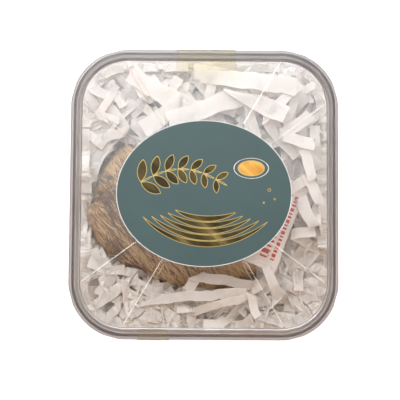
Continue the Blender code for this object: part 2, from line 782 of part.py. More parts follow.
def tape_profile(settings):
    """The tape's section over the rim and down the wall, as insets and heights."""
    lift = GAP + TAPE_THICKNESS / 2
    low = settings["end_height"]
    over_panel = LID_TOP + lift
    profile = []
    if settings["reach_in"] > PANEL_INSET:
        profile.append((settings["reach_in"], LID_TOP - PANEL_DROP + lift))
        profile.append((PANEL_INSET + 1.5 * MM, LID_TOP - PANEL_DROP / 2 + lift))
        profile.append((PANEL_INSET - 0.5 * MM, over_panel))
    else:
        profile.append((CROWN_INSET + 0.8 * MM, over_panel))
    profile.append((CROWN_INSET - lift / 2, over_panel))
    profile.append((SKIRT_DRAFT + 0.8 * MM, LID_TOP - LEDGE_DROP + lift))
    profile.append((SKIRT_DRAFT - 0.3 * MM, LID_TOP - LEDGE_DROP - 0.7 * MM))
    profile.append((-lift, LID_TOP - SKIRT_HEIGHT))
    profile.append((tray_inset(low + 5 * MM) - 1.2 * lift, low + 5 * MM))
    profile.append((tray_inset(low) - 1.2 * lift, low))
    return profile


def make_tape(name, side, settings, collection, finish):
    """A strip of clear tape over the rim; side is 1 at the far edge and -1 at the near one."""
    section = tape_profile(settings)
    profile = [Vector((0, side * (BOX_DEPTH / 2 - inset), height)) for inset, height in section]
    half = settings["width"] / 2
    count = len(profile)
    points = []
    for shift in (-half, half):
        points += [p + Vector((settings["middle"] + shift, 0, 0)) for p in profile]
    faces = []
    for i in range(count - 1):
        patch = (i, i + 1, count + i + 1, count + i)
        faces.append(patch if side < 0 else tuple(reversed(patch)))
    tape = place(mesh_of(points, faces, name), name, collection, finish)
    sheet = tape.modifiers.new("thickness", "SOLIDIFY")
    sheet.thickness = TAPE_THICKNESS
    sheet.offset = 0
    sheet.use_even_offset = True
    return tape


def main():
    clear_scene()
    parts = new_collection(COLLECTION)
    helpers = new_collection("rib_helpers")

    clear = material("clear_plastic", (0.93, 0.94, 0.95), 0.05, alpha=0.3, transmission=0.9)
    tape = material("clear_tape", (0.92, 0.9, 0.8), 0.2, alpha=0.4, transmission=0.8)
    teal = material("label_foil", (0.075, 0.14, 0.155), 0.4)
    fibre = material("nest_fibre", (0.45, 0.3, 0.18), 0.7)
    white = material("white_paper", (0.75, 0.72, 0.7), 0.8)
    packet = material("packet_paper", (0.8, 0.78, 0.76), 0.6)

    make_tray(parts, clear)
    make_lid(parts, helpers, clear)
    make_label(parts, teal)
    make_nest(parts, fibre)
    make_bed(parts, white)

    pile = Pile()
    bed = [ring + ring[:1] for ring in bed_rings()]
    pile.cover_grid(bed, GAP)
    centre = Vector((0, 0, bed_height(0, 0)))
    for a, b in zip(bed[0], bed[0][1:]):
        pile.cover(centre, a, b, centre, GAP)
    pile.cover_grid(nest_grid(0), GAP)
    make_sachet(parts, packet, pile)
    make_strips(parts, white, pile)

    make_tape("seal_tape_back", 1, BACK_TAPE, parts, tape)
    make_tape("seal_tape_front", -1, FRONT_TAPE, parts, tape)


main()
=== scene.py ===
"""Boxed edible bird's nest: the visible pieces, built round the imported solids. Metres, +Z up."""

import json
import math

import bmesh
import bpy
import numpy as np
from bpy.props import FloatProperty, FloatVectorProperty, IntProperty, PointerProperty
from mathutils import Matrix, Vector
from mathutils.bvhtree import BVHTree

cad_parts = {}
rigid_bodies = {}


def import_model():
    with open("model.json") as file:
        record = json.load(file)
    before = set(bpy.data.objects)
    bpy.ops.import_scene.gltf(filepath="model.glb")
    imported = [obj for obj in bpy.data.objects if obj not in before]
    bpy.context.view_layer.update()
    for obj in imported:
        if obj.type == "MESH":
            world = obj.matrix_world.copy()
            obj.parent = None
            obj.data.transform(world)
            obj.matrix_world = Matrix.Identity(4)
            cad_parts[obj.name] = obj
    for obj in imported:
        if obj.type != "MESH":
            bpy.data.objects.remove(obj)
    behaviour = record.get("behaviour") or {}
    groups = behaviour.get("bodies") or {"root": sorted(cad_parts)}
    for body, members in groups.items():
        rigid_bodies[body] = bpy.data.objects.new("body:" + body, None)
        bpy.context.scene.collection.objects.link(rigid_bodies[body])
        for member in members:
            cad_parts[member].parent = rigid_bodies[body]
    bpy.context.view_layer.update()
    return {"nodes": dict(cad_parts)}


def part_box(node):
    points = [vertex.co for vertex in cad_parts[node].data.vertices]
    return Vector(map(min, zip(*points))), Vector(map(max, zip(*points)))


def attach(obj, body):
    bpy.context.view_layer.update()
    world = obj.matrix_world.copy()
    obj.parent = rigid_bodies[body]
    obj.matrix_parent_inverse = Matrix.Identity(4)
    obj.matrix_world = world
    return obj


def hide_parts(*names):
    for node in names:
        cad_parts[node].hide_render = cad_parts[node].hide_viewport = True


bl_info = {
    "name": "Boxed bird's nest",
    "version": (1, 0, 0),
    "blender": (4, 5, 0),
    "location": "3D View > Sidebar > Boxed nest",
    "description": "Builds an edible bird's nest on shredded paper in its clear lidded box",
    "category": "Object",
}

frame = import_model()

MM = 0.001
BODY = "root"

# The box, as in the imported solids
BOX_WIDTH = 150 * MM
BOX_DEPTH = 162 * MM
LID_TOP = 46 * MM
CORNER_RADIUS = 32 * MM
GAP = 0.3 * MM
PACKED_WALL = 1.0 * MM
SKIRT_HEIGHT = 11.5 * MM
SKIRT_DRAFT = 0.5 * MM
LEDGE_DROP = 2.0 * MM
LEDGE_INSET = 3.4 * MM
CROWN_INSET = 5.4 * MM
PANEL_INSET = 7.2 * MM
PANEL_DROP = 0.6 * MM
TRAY_INSET = 2.1 * MM
TRAY_DRAFT = 2.4 * MM
TRAY_FOOT_RADIUS = 3.0 * MM
RIB_BEVEL = 0.45 * MM
RIB_ANGLES = (36.5, 59.5, 120.5, 143.5, 216.5, 239.5, 300.5, 323.5)
LABEL_WIDTH = 97.0 * MM
LABEL_DEPTH = 81.0 * MM
LABEL_THICKNESS = 0.2 * MM

# The nest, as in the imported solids: its straight back edge's middle and direction, and its radii
NEST_CENTRE = np.array((-6.2 * MM, -6.4 * MM))
NEST_EDGE_ANGLE = math.radians(-43.4)
NEST_RADII = (55.5 * MM, 50.0 * MM, 46.5 * MM, 49.8 * MM, 61.5 * MM, 58.8 * MM, 57.3 * MM)
NEST_REST = 12.0 * MM
NEST_RISE = 26.0 * MM
NEST_RIM_WALL = 5.0 * MM
NEST_FOOT_WALL = 4.0 * MM
NEST_CROWN_WALL = 4.2 * MM
NEST_ROUNDNESS = 2.5
NEST_FOOT_TAPER = 6

# The sachet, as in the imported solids
SACHET_LENGTH = 52 * MM
SACHET_WIDTH = 33 * MM
SACHET_BULGE = 4.0 * MM
SACHET_SEAL = 0.5 * MM
SACHET_CRIMP = 5.0 * MM
SACHET_CENTRE = (34.5 * MM, -13.5 * MM)
SACHET_ANGLE = math.radians(68)
SACHET_TILT = math.radians(9)

TAPE_THICKNESS = 0.15 * MM
TAPE_FILM = 0.06 * MM
BACK_TAPE = {"middle": 0.8 * MM, "width": 33 * MM, "reach_in": 12.5 * MM, "end_height": 22 * MM}
FRONT_TAPE = {"middle": -27.5 * MM, "width": 17 * MM, "reach_in": 5.0 * MM, "end_height": 20 * MM}

# How far a leaf on the label points along its stem and sideways
LEAF_TURN = (0.55, 0.83)

# The last share of the shreds lies loose on top of the bed, this far above it and no higher than this
ON_TOP = 0.78
TOP_LOFT = 7.5 * MM
TOP_CEILING = 41.5 * MM
MOAT_CEILING = 27 * MM
TRAY_FLOOR = 1.4 * MM

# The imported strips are 0.35 mm thick; each face of a shown strip is drawn in by this much
STRIP_THINNING = 0.11 * MM

# The photograph's frame
FRAME_WIDTH = 220.5 * MM
FRAME_SHIFT = (-0.010, -0.0169)


class BoxSettings(bpy.types.PropertyGroup):
    """Sizes and colour of the clear tray and lid."""

    wall: FloatProperty(
        name="Wall", description="Thickness of the clear plastic", default=0.55 * MM, unit="LENGTH"
    )
    rib_width: FloatProperty(
        name="Rib width", description="Width of a rib on the lid", default=2.6 * MM, unit="LENGTH"
    )
    rib_height: FloatProperty(
        name="Rib height", description="How far a rib stands proud", default=0.16 * MM, unit="LENGTH"
    )
    plastic: FloatVectorProperty(
        name="Plastic", description="Tint of the clear plastic", default=(0.965, 0.97, 0.975), subtype="COLOR"
    )


class NestSettings(bpy.types.PropertyGroup):
    """Relief, strands and colours of the nest."""

    relief: FloatProperty(
        name="Relief", description="Height of the strands' ridges", default=0.6 * MM, unit="LENGTH"
    )
    strands: IntProperty(name="Strands", description="Loose strands along the surface", default=520)
    strand_radius: FloatProperty(
        name="Strand radius", description="Radius of a loose strand", default=0.28 * MM, unit="LENGTH"
    )
    barbs: IntProperty(name="Barbs", description="Dark feather barbs caught in the strands", default=240)
    pale: FloatVectorProperty(
        name="Pale", description="Colour of the palest strands", default=(0.67, 0.465, 0.24), subtype="COLOR"
    )
    brown: FloatVectorProperty(
        name="Brown",
        description="Colour of the darkest strands",
        default=(0.34, 0.17, 0.052),
        subtype="COLOR",
    )


class PaperSettings(bpy.types.PropertyGroup):
    """The shredded paper and the sachet."""

    shreds: IntProperty(name="Shreds", description="Shreds in the bed", default=1100)
    width: FloatProperty(
        name="Width", description="Width of a shred", default=5.8 * MM, unit="LENGTH"
    )
    paper: FloatVectorProperty(
        name="Paper", description="Colour of the paper", default=(0.98, 0.925, 0.86), subtype="COLOR"
    )
    print_red: FloatVectorProperty(
        name="Print", description="Colour of the sachet's print", default=(0.62, 0.06, 0.04), subtype="COLOR"
    )


class LabelSettings(bpy.types.PropertyGroup):
    """The oval label."""

    ground: FloatVectorProperty(
        name="Ground",
        description="Colour of the printed ground",
        default=(0.048, 0.098, 0.100),
        subtype="COLOR",
    )
    gold: FloatVectorProperty(
        name="Gold", description="Colour of the foil", default=(0.60, 0.44, 0.15), subtype="COLOR"
    )


class StageSettings(bpy.types.PropertyGroup):
    """Camera and light."""

    distance: FloatProperty(
        name="Distance", description="From the camera to the lid", default=0.55, unit="LENGTH"
    )
    elevation: FloatProperty(
        name="Elevation", description="Of the camera over the lid", default=math.radians(86), subtype="ANGLE"
    )
    roll: FloatProperty(
        name="Roll", description="Of the camera", default=math.radians(0.4), subtype="ANGLE"
    )


def grid_faces(rows, columns, wrap=False):
    """Quads between rows of points; wrap joins each row's end to its start."""
    row = np.arange(rows - 1)[:, None]
    column = np.arange(columns if wrap else columns - 1)[None, :]
    here = row * columns + column
    beside = row * columns + (column + 1) % columns
    return np.stack((here, beside, beside + columns, here + columns), -1).reshape(-1, 4).tolist()


def new_mesh(name, points, faces):
    """A mesh from points in any grid shape and lists of corners."""
    mesh = bpy.data.meshes.new(name)
    mesh.from_pydata(np.asarray(points).reshape(-1, 3).tolist(), [], faces)
    return mesh


def merged(mesh, distance=1e-7):
    """The mesh with coinciding points made one."""
    shape = bmesh.new()
    shape.from_mesh(mesh)
    bmesh.ops.remove_doubles(shape, verts=shape.verts, dist=distance)
    bmesh.ops.dissolve_degenerate(shape, edges=shape.edges, dist=distance)
    shape.to_mesh(mesh)
    shape.free()
    return mesh


def new_piece(name, mesh, finish=None, smooth_angle=None):
    """An object for the mesh, with its material and shading."""
    piece = bpy.data.objects.new(name, mesh)
    bpy.context.scene.collection.objects.link(piece)
    if finish:
        mesh.materials.append(finish)
    if smooth_angle is not None:
        mesh.shade_smooth()
        mesh.set_sharp_from_angle(angle=math.radians(smooth_angle))
    return piece


def applied(piece):
    """The piece with its modifiers made part of a plain mesh."""
    graph = bpy.context.evaluated_depsgraph_get()
    mesh = bpy.data.meshes.new_from_object(piece.evaluated_get(graph), depsgraph=graph)
    piece.modifiers.clear()
    piece.data = mesh
    return piece


def settle(piece, slot, *nodes):
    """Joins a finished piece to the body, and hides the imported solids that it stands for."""
    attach(piece, BODY)
    if nodes:
        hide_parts(*nodes)


def set_values(mesh, name, values):
    """Keeps one number for each point of a mesh."""
    held = mesh.attributes.new(name, "FLOAT", "POINT")
    held.data.foreach_set("value", np.asarray(values, float).ravel())


def read_points(mesh, name="co"):
    """The places of a mesh's points, or their normals, as rows of three numbers."""
    values = np.empty(len(mesh.vertices) * 3)
    mesh.vertices.foreach_get(name, values)
    return values.reshape(-1, 3)


def scaled(colour, share):
    """A colour with its channels multiplied by one number, or each by its own."""
    return tuple(float(channel) for channel in np.array(colour[:]) * share)


def smooth_step(low, high, value):
    """0 up to low, 1 from high on, and a smooth rise between them."""
    part = np.clip((value - low) / (high - low), 0.0, 1.0)
    return part * part * (3 - 2 * part)


def lattice_noise(x, y, seed):
    """Smooth noise from -1 to 1 over a plane, with hills about one unit across."""
    x, y = np.broadcast_arrays(np.asarray(x, float), np.asarray(y, float))
    column, row = np.floor(x).astype(np.int64), np.floor(y).astype(np.int64)
    u, v = x - column, y - row
    u, v = u * u * (3 - 2 * u), v * v * (3 - 2 * v)

    def corner(i, j):
        """A number from -1 to 1 that only depends on the lattice point; it overflows on purpose."""
        with np.errstate(over="ignore"):
            jumbled = (column + i) * 374761393 + (row + j) * 668265263 + seed * 69069
            jumbled = (jumbled ^ (jumbled >> 13)) * 1274126177
        return ((jumbled ^ (jumbled >> 16)) & 65535) / 32767.5 - 1

    near = corner(0, 0) * (1 - u) + corner(1, 0) * u
    far = corner(0, 1) * (1 - u) + corner(1, 1) * u
    return near * (1 - v) + far * v


def outline_hit(start, ray, half, radius):
    """Where a ray leaves a rounded rectangle, and the way out there."""
    low, high = 0.0, 2 * (half.x + half.y)
    for _ in range(44):
        middle = (low + high) / 2
        if rectangle_distance(start + ray * middle, half, radius)[0] < 0:
            low = middle
        else:
            high = middle
    point = start + ray * low
    return point, rectangle_distance(point, half, radius)[1]


def rectangle_distance(point, half, radius):
    """How far a point is outside a rounded rectangle, and the way out."""
    corner = Vector((abs(point.x) - half.x + radius, abs(point.y) - half.y + radius))
    if corner.x > 0 and corner.y > 0:
        way = corner.normalized()
        distance = corner.length - radius
    elif corner.x > corner.y:
        way, distance = Vector((1, 0)), corner.x - radius
    else:
        way, distance = Vector((0, 1)), corner.y - radius
    return distance, Vector((math.copysign(way.x, point.x), math.copysign(way.y, point.y)))


def add_node(tree, kind, values=None, **settings):
    """A node with its settings, each input given a value or joined to a socket."""
    node = tree.nodes.new(kind)
    for key, value in settings.items():
        setattr(node, key, value)
    for key, value in (values or {}).items():
        if isinstance(value, bpy.types.NodeSocket):
            tree.links.new(value, node.inputs[key])
        else:
            node.inputs[key].default_value = value
    return node


def new_finish(name, roughness, **values):
    """A material, its tree and its Principled shader, with plain values on the shader's own sockets."""
    finish = bpy.data.materials.new(name)
    finish.use_nodes = True
    shader = finish.node_tree.nodes["Principled BSDF"]
    shader.inputs["Roughness"].default_value = roughness
    for key, value in values.items():
        shader.inputs[key.replace("_", " ")].default_value = value
    return finish, finish.node_tree, shader


def object_place(tree, turn=0.0, stretch=(1, 1, 1)):
    """Object coordinates, turned about the upright axis and then stretched."""
    place = add_node(tree, "ShaderNodeTexCoord").outputs["Object"]
    turned = add_node(tree, "ShaderNodeMapping", {"Vector": place, "Rotation": (0, 0, turn)})
    scaled = add_node(tree, "ShaderNodeMapping", {"Vector": turned.outputs[0], "Scale": stretch})
    return scaled.outputs[0]


def ramp(tree, value, stops):
    """A colour ramp over a value, from pairs of place and colour."""
    node = add_node(tree, "ShaderNodeValToRGB", {"Fac": value})
    points = node.color_ramp.elements
    while len(points) < len(stops):
        points.new(0.5)
    for point, (place, colour) in zip(points, stops):
        point.position = place
        point.color = (*colour, 1.0)
    return node.outputs["Color"]


def point_value(tree, name):
    """The number kept under a name for each point of the mesh."""
    return add_node(tree, "ShaderNodeAttribute", attribute_name=name).outputs["Fac"]


def range_of(tree, value, low, high, to_low=0.0, to_high=1.0):
    """A value remapped from one range to another, kept inside it."""
    inputs = {"Value": value, "From Min": low, "From Max": high, "To Min": to_low, "To Max": to_high}
    return add_node(tree, "ShaderNodeMapRange", inputs).outputs["Result"]


def mixed(tree, share, first, second, blend_type="MIX"):
    """Two colours mixed by a share."""
    node = add_node(tree, "ShaderNodeMix", data_type="RGBA", blend_type=blend_type)
    for socket, value in zip((node.inputs[0], node.inputs[6], node.inputs[7]), (share, first, second)):
        if isinstance(value, bpy.types.NodeSocket):
            tree.links.new(value, socket)
        elif socket.type == "RGBA":
            socket.default_value = (*value[:3], 1.0)
        else:
            socket.default_value = value
    return node.outputs[2]


def mottle_group():
    """The soft unevenness that paper, foil, plastic and strands share: a value and a height."""
    if "mottle" in bpy.data.node_groups:
        return bpy.data.node_groups["mottle"]
    group = bpy.data.node_groups.new("mottle", "ShaderNodeTree")
    face = group.interface
    face.new_socket(name="Place", in_out="INPUT", socket_type="NodeSocketVector")
    for name, value in (("Scale", 100.0), ("Low", 0.0), ("High", 1.0), ("Fine", 5.0)):
        socket = face.new_socket(name=name, in_out="INPUT", socket_type="NodeSocketFloat")
        socket.default_value = value
    face.new_socket(name="Value", in_out="OUTPUT", socket_type="NodeSocketFloat")
    face.new_socket(name="Height", in_out="OUTPUT", socket_type="NodeSocketFloat")
    given = group.nodes.new("NodeGroupInput").outputs
    result = group.nodes.new("NodeGroupOutput")
    coarse_inputs = {"Vector": given["Place"], "Scale": given["Scale"], "Detail": 4.0}
    coarse = add_node(group, "ShaderNodeTexNoise", coarse_inputs).outputs["Fac"]
    finer = add_node(group, "ShaderNodeMath", {0: given["Scale"], 1: given["Fine"]}, operation="MULTIPLY")
    fine_inputs = {"Vector": given["Place"], "Scale": finer.outputs[0], "Detail": 3.0}
    fine = add_node(group, "ShaderNodeTexNoise", fine_inputs).outputs["Fac"]
    spread = add_node(group, "ShaderNodeMapRange", {"Value": coarse, "From Min": 0.3, "From Max": 0.7})
    group.links.new(given["Low"], spread.inputs["To Min"])
    group.links.new(given["High"], spread.inputs["To Max"])
    both = add_node(group, "ShaderNodeMath", {0: coarse, 1: fine}, operation="ADD")
    group.links.new(spread.outputs["Result"], result.inputs["Value"])
    group.links.new(both.outputs[0], result.inputs["Height"])
    return group


def mottle(tree, place, scale, low=0.0, high=1.0, fine=5.0):
    """One use of the shared unevenness: its value and its height."""
    node = tree.nodes.new("ShaderNodeGroup")
    node.node_tree = mottle_group()
    tree.links.new(place, node.inputs["Place"])
    for key, value in (("Scale", scale), ("Low", low), ("High", high), ("Fine", fine)):
        node.inputs[key].default_value = value
    return node.outputs["Value"], node.outputs["Height"]


def bump(tree, height, distance, strength=1.0):
    """A normal from a height."""
    inputs = {"Height": height, "Distance": distance, "Strength": strength}
    return add_node(tree, "ShaderNodeBump", inputs).outputs["Normal"]


def let_light_through(finish, share=(1.0, 1.0, 1.0)):
    """Lets shadow rays and soft light pass straight through a clear material."""
    tree = finish.node_tree
    path = add_node(tree, "ShaderNodeLightPath").outputs
    either = add_node(
        tree, "ShaderNodeMath", {0: path["Is Shadow Ray"], 1: path["Is Diffuse Ray"]}, operation="MAXIMUM"
    )
    clear = add_node(tree, "ShaderNodeBsdfTransparent", {"Color": (*share, 1.0)})
    shader = tree.nodes["Principled BSDF"]
    both = add_node(tree, "ShaderNodeMixShader", {0: either.outputs[0]})
    tree.links.new(shader.outputs[0], both.inputs[1])
    tree.links.new(clear.outputs[0], both.inputs[2])
    tree.links.new(both.outputs[0], tree.nodes["Material Output"].inputs["Surface"])


def plastic_finish():
    """Clear, hard plastic with faint scuffs; rougher along the rim, where a darker, faintly lavender tint is
    painted shade, and glossier on the ribs' bevels.
    """
    tint = bpy.context.scene.nest_box.plastic
    finish, tree, shader = new_finish(
        "clear_plastic", 0.03, Transmission_Weight=1.0, IOR=1.55, Coat_IOR=2.4, Coat_Roughness=0.06
    )
    place = object_place(tree)
    share, _ = mottle(tree, place, 60.0)
    dull = scaled(tint, 0.985)
    scuff, _ = mottle(tree, object_place(tree, 0.6, (1, 5, 1)), 45.0, 0.015, 0.03)
    wear_shade_and_gloss = point_value(tree, "wear_shade_and_gloss")
    body = mixed(tree, share, tint, dull)
    # Painted shade: the rim's plastic is tinted darker and faintly lavender where the mark is 1.
    rim = scaled(tint, (0.94, 0.915, 0.925))
    tree.links.new(mixed(tree, range_of(tree, wear_shade_and_gloss, 0.0, 1.0), body, rim), shader.inputs["Base Color"])
    tree.links.new(range_of(tree, wear_shade_and_gloss, 0.0, 1.0, scuff, 0.3), shader.inputs["Roughness"])
    tree.links.new(range_of(tree, wear_shade_and_gloss, 0.0, -1.0), shader.inputs["Coat Weight"])
    let_light_through(finish, scaled(tint, 0.97))
    return finish


def sweep_tree(name, flat):
    """Geometry nodes that sweep a flat or a round section along paths, by their girth and roll."""
    tree = bpy.data.node_groups.new(name, "GeometryNodeTree")
    face = tree.interface
    face.new_socket(name="Paths", in_out="INPUT", socket_type="NodeSocketGeometry")
    thick = face.new_socket(name="Thickness", in_out="INPUT", socket_type="NodeSocketFloat")
    thick.default_value = 0.03
    sides = face.new_socket(name="Sides", in_out="INPUT", socket_type="NodeSocketInt")
    sides.default_value = 5
    face.new_socket(name="Material", in_out="INPUT", socket_type="NodeSocketMaterial")
    face.new_socket(name="Pieces", in_out="OUTPUT", socket_type="NodeSocketGeometry")
    given = tree.nodes.new("NodeGroupInput").outputs
    result = tree.nodes.new("NodeGroupOutput")
    girth = add_node(tree, "GeometryNodeInputNamedAttribute", {"Name": "girth"}).outputs["Attribute"]
    roll = add_node(tree, "GeometryNodeInputNamedAttribute", {"Name": "roll"}).outputs["Attribute"]
    curve = add_node(tree, "GeometryNodeMeshToCurve", {"Mesh": given["Paths"]}).outputs[0]
    level = add_node(tree, "GeometryNodeSetCurveNormal", {"Curve": curve}, mode="Z_UP").outputs[0]
    rolled = add_node(tree, "GeometryNodeSetCurveTilt", {"Curve": level, "Tilt": roll}).outputs[0]
    sized = add_node(tree, "GeometryNodeSetCurveRadius", {"Curve": rolled, "Radius": girth}).outputs[0]
    if flat:
        inputs = {"Width": 1.0, "Height": given["Thickness"]}
        section = add_node(tree, "GeometryNodeCurvePrimitiveQuadrilateral", inputs).outputs[0]
    else:
        inputs = {"Resolution": given["Sides"], "Radius": 1.0}
        section = add_node(tree, "GeometryNodeCurvePrimitiveCircle", inputs).outputs[0]
    inputs = {"Curve": sized, "Profile Curve": section, "Scale": girth, "Fill Caps": True}
    swept = add_node(tree, "GeometryNodeCurveToMesh", inputs).outputs[0]
    shaded = add_node(tree, "GeometryNodeSetShadeSmooth", {0: swept, "Shade Smooth": not flat}).outputs[0]
    real = add_node(tree, "GeometryNodeRealizeInstances", {0: shaded}).outputs[0]
    inputs = {"Geometry": real, "Material": given["Material"]}
    done = add_node(tree, "GeometryNodeSetMaterial", inputs).outputs[0]
    tree.links.new(done, result.inputs[0])
    return tree


def swept_piece(name, paths, finish, flat, thickness=0.03, sides=5):
    """One piece swept along many paths, each a dict of points, girth, roll and tone."""
    points = np.concatenate([path["points"] for path in paths])
    edges, start = [], 0
    for path in paths:
        count = len(path["points"])
        edges += [(start + i, start + i + 1) for i in range(count - 1)]
        start += count
    mesh = bpy.data.meshes.new(name)
    mesh.from_pydata(points.tolist(), edges, [])
    for key in ("girth", "roll", "tone"):
        values = [np.broadcast_to(path.get(key, 0.0), len(path["points"])) for path in paths]
        set_values(mesh, key, np.concatenate(values))
    piece = new_piece(name, mesh)
    tree = sweep_tree(name + "_sweep", flat)
    modifier = piece.modifiers.new("sweep", "NODES")
    modifier.node_group = tree
    settings = {"Thickness": thickness, "Sides": sides, "Material": finish}
    for item in tree.interface.items_tree:
        if item.in_out == "INPUT" and item.name in settings:
            modifier[item.identifier] = settings[item.name]
    return applied(piece)


def rounded_section(section, radius, steps=3):
    """A profile of insets and heights with its corners rounded."""
    points = [Vector(section[0])]
    for before, here, after in zip(section, section[1:], section[2:]):
        before, here, after = Vector(before), Vector(here), Vector(after)
        start = here + (before - here).normalized() * min(radius, (before - here).length * 0.45)
        end = here + (after - here).normalized() * min(radius, (after - here).length * 0.45)
        for step in range(steps + 1):
            share = step / steps
            points.append(start.lerp(here, share).lerp(here.lerp(end, share), share))
    points.append(Vector(section[-1]))
    return points


def label_reach(angle):
    """How far the label's edge is from its middle."""
    return 1 / math.hypot(math.cos(angle) / (LABEL_WIDTH / 2), math.sin(angle) / (LABEL_DEPTH / 2))


def lid_spokes():
    """Lines from the label to the panel's edge, close together at each rib, with their share of its rise."""
    half = Vector((BOX_WIDTH / 2 - PANEL_INSET, BOX_DEPTH / 2 - PANEL_INSET))
    radius = CORNER_RADIUS - PANEL_INSET
    spokes = []
    for degrees in RIB_ANGLES:
        angle = math.radians(degrees)
        steep = abs(math.sin(angle)) > 0.8
        root = bpy.context.scene.nest_box.rib_width * (0.5 if steep else 0.3)
        outer = [root + 1.2 * MM, root + 0.5 * MM, root, root - 0.03 * MM]
        outer += [root - RIB_BEVEL + 0.03 * MM, root - RIB_BEVEL - 0.05 * MM]
        offsets = [-place for place in outer] + [0.0] + outer[::-1]
        ray = Vector((math.cos(angle), math.sin(angle)))
        side = Vector((-ray.y, ray.x))
        for offset in offsets:
            start = side * offset + ray * (label_reach(angle) + 0.4 * MM)
            end, way = outline_hit(start, ray, half, radius)
            rise = min(1.0, max(0.0, (root - abs(offset)) / RIB_BEVEL))
            spokes.append((start, end, way, rise))
    blocked = math.radians(4.2)
    for step in range(240):
        angle = 2 * math.pi * step / 240
        if any(abs(math.remainder(angle - math.radians(rib), 2 * math.pi)) < blocked for rib in RIB_ANGLES):
            continue
        ray = Vector((math.cos(angle), math.sin(angle)))
        start = ray * (label_reach(angle) + 0.4 * MM)
        end, way = outline_hit(start, ray, half, radius)
        spokes.append((start, end, way, 0.0))
    return sorted(spokes, key=lambda spoke: math.atan2(*reversed(spoke[1])))


def lid_section():
    """The lid's outer profile from the skirt's foot to the panel, as insets and heights."""
    top = LID_TOP
    section = [
        (0.0, top - SKIRT_HEIGHT),
        (SKIRT_DRAFT, top - LEDGE_DROP - 1.3 * MM),
        (SKIRT_DRAFT + 0.4 * MM, top - LEDGE_DROP - 0.4 * MM),
        (SKIRT_DRAFT + 1.3 * MM, top - LEDGE_DROP),
        (LEDGE_INSET, top - LEDGE_DROP),
        (LEDGE_INSET + 0.8 * MM, top - LEDGE_DROP + 0.4 * MM),
        (CROWN_INSET - 0.6 * MM, top - 0.4 * MM),
        (CROWN_INSET, top),
        (PANEL_INSET - 0.5 * MM, top),
        (PANEL_INSET, top - PANEL_DROP),
    ]
    return rounded_section(section, 0.6 * MM)


def make_lid(finish):
    """The stepped lid with its ribs, as one wall."""
    settings = bpy.context.scene.nest_box
    spokes = lid_spokes()
    outer = lid_section()
    inner = inward_section(outer, settings.wall)
    under = panel_rows(spokes, inner[-1].y, 0.0)
    rows = [row for row, _ in reversed(under)]
    wear_shade_and_gloss = [mark for _, marks in reversed(under) for mark in marks]
    for inset, height in [*reversed(inner), *outer]:
        row = [end + way * (PANEL_INSET - inset) for _, end, way, _ in spokes]
        rows.append([(point.x, point.y, height) for point in row])
        # Rim rows carry 1, for a rougher finish and the rim's painted shade; the crown's inner edge carries
        # -1, for gloss.
        glossy = inset > PANEL_INSET - 0.9 * MM and height > LID_TOP - PANEL_DROP * 0.9
        wear_shade_and_gloss += [-1.0 if glossy else 1.0] * len(spokes)
    for row, marks in panel_rows(spokes, outer[-1].y, settings.rib_height):
        rows.append(row)
        wear_shade_and_gloss += marks
    count = len(spokes)
    faces = grid_faces(len(rows), count, wrap=True)
    faces.append(list(reversed(range(count))))
    last = (len(rows) - 1) * count
    faces.append(list(range(last, last + count)))
    mesh = new_mesh("lid_clear", rows, faces)
    set_values(mesh, "wear_shade_and_gloss", wear_shade_and_gloss)
    outward(mesh)
    return new_piece("lid_clear", mesh, finish, 32)


def inward_section(section, thickness):
    """The same profile, drawn in by a wall's thickness."""
    moved = []
    for i, point in enumerate(section):
        before, after = section[max(i - 1, 0)], section[min(i + 1, len(section) - 1)]
        along = (after - before).normalized()
        moved.append(point + Vector((along.y, -along.x)) * thickness)
    moved[0].y = section[0].y
    moved[-1].x = section[-1].x
    return moved


def panel_rows(spokes, panel, rib_height):
    """Rows of the lid's panel from its edge to the label, with the ribs standing on it, and their gloss
    marks.
    """
    marks = (0.4, 0.9, 1.4, 2.0, 3.0)
    rows = []
    for level in range(12):
        row, wear_shade_and_gloss = [], []
        for start, end, _, share in spokes:
            length = (end - start).length
            if level < 5:
                from_end = marks[level] * MM
            elif level > 6:
                from_end = length - (0.0, 0.4, 1.0, 1.6, 2.2)[11 - level] * MM
            else:
                from_end = length * (0.4 if level == 5 else 0.7)
            point = end.lerp(start, from_end / length)
            near = min(from_end, length - from_end)
            rise = rib_height * share * float(smooth_step(0.4 * MM, 2.0 * MM, near))
            row.append((point.x, point.y, panel + rise))
            wear_shade_and_gloss.append(-1.0 if rib_height and 0.05 < share < 0.999 else 0.0)
        rows.append((row, wear_shade_and_gloss))
    return rows


def add_wall(shell, thickness):
    """Gives an open shell a wall on its inner side."""
    wall = shell.modifiers.new("wall", "SOLIDIFY")
    wall.thickness = thickness
    wall.offset = -1
    wall.use_even_offset = True


def fine_ring(inset, height, steps=16):
    """The box's outline, drawn in by an inset, with finely rounded corners."""
    half_x, half_y, radius = BOX_WIDTH / 2 - inset, BOX_DEPTH / 2 - inset, CORNER_RADIUS - inset
    ring = []
    for corner, (side_x, side_y) in enumerate(((1, 1), (-1, 1), (-1, -1), (1, -1))):
        for step in range(steps + 1):
            angle = math.pi / 2 * (corner + step / steps)
            x = side_x * (half_x - radius) + radius * math.cos(angle)
            ring.append((x, side_y * (half_y - radius) + radius * math.sin(angle), height))
    return ring


def tray_top():
    """The height of the tray's open edge, under the lid's ledge."""
    return LID_TOP - LEDGE_DROP - PACKED_WALL - GAP


def tray_inset(height):
    """How far the tray's outer face lies inside the box's outline at a height."""
    return TRAY_INSET + TRAY_DRAFT * (1 - height / tray_top())


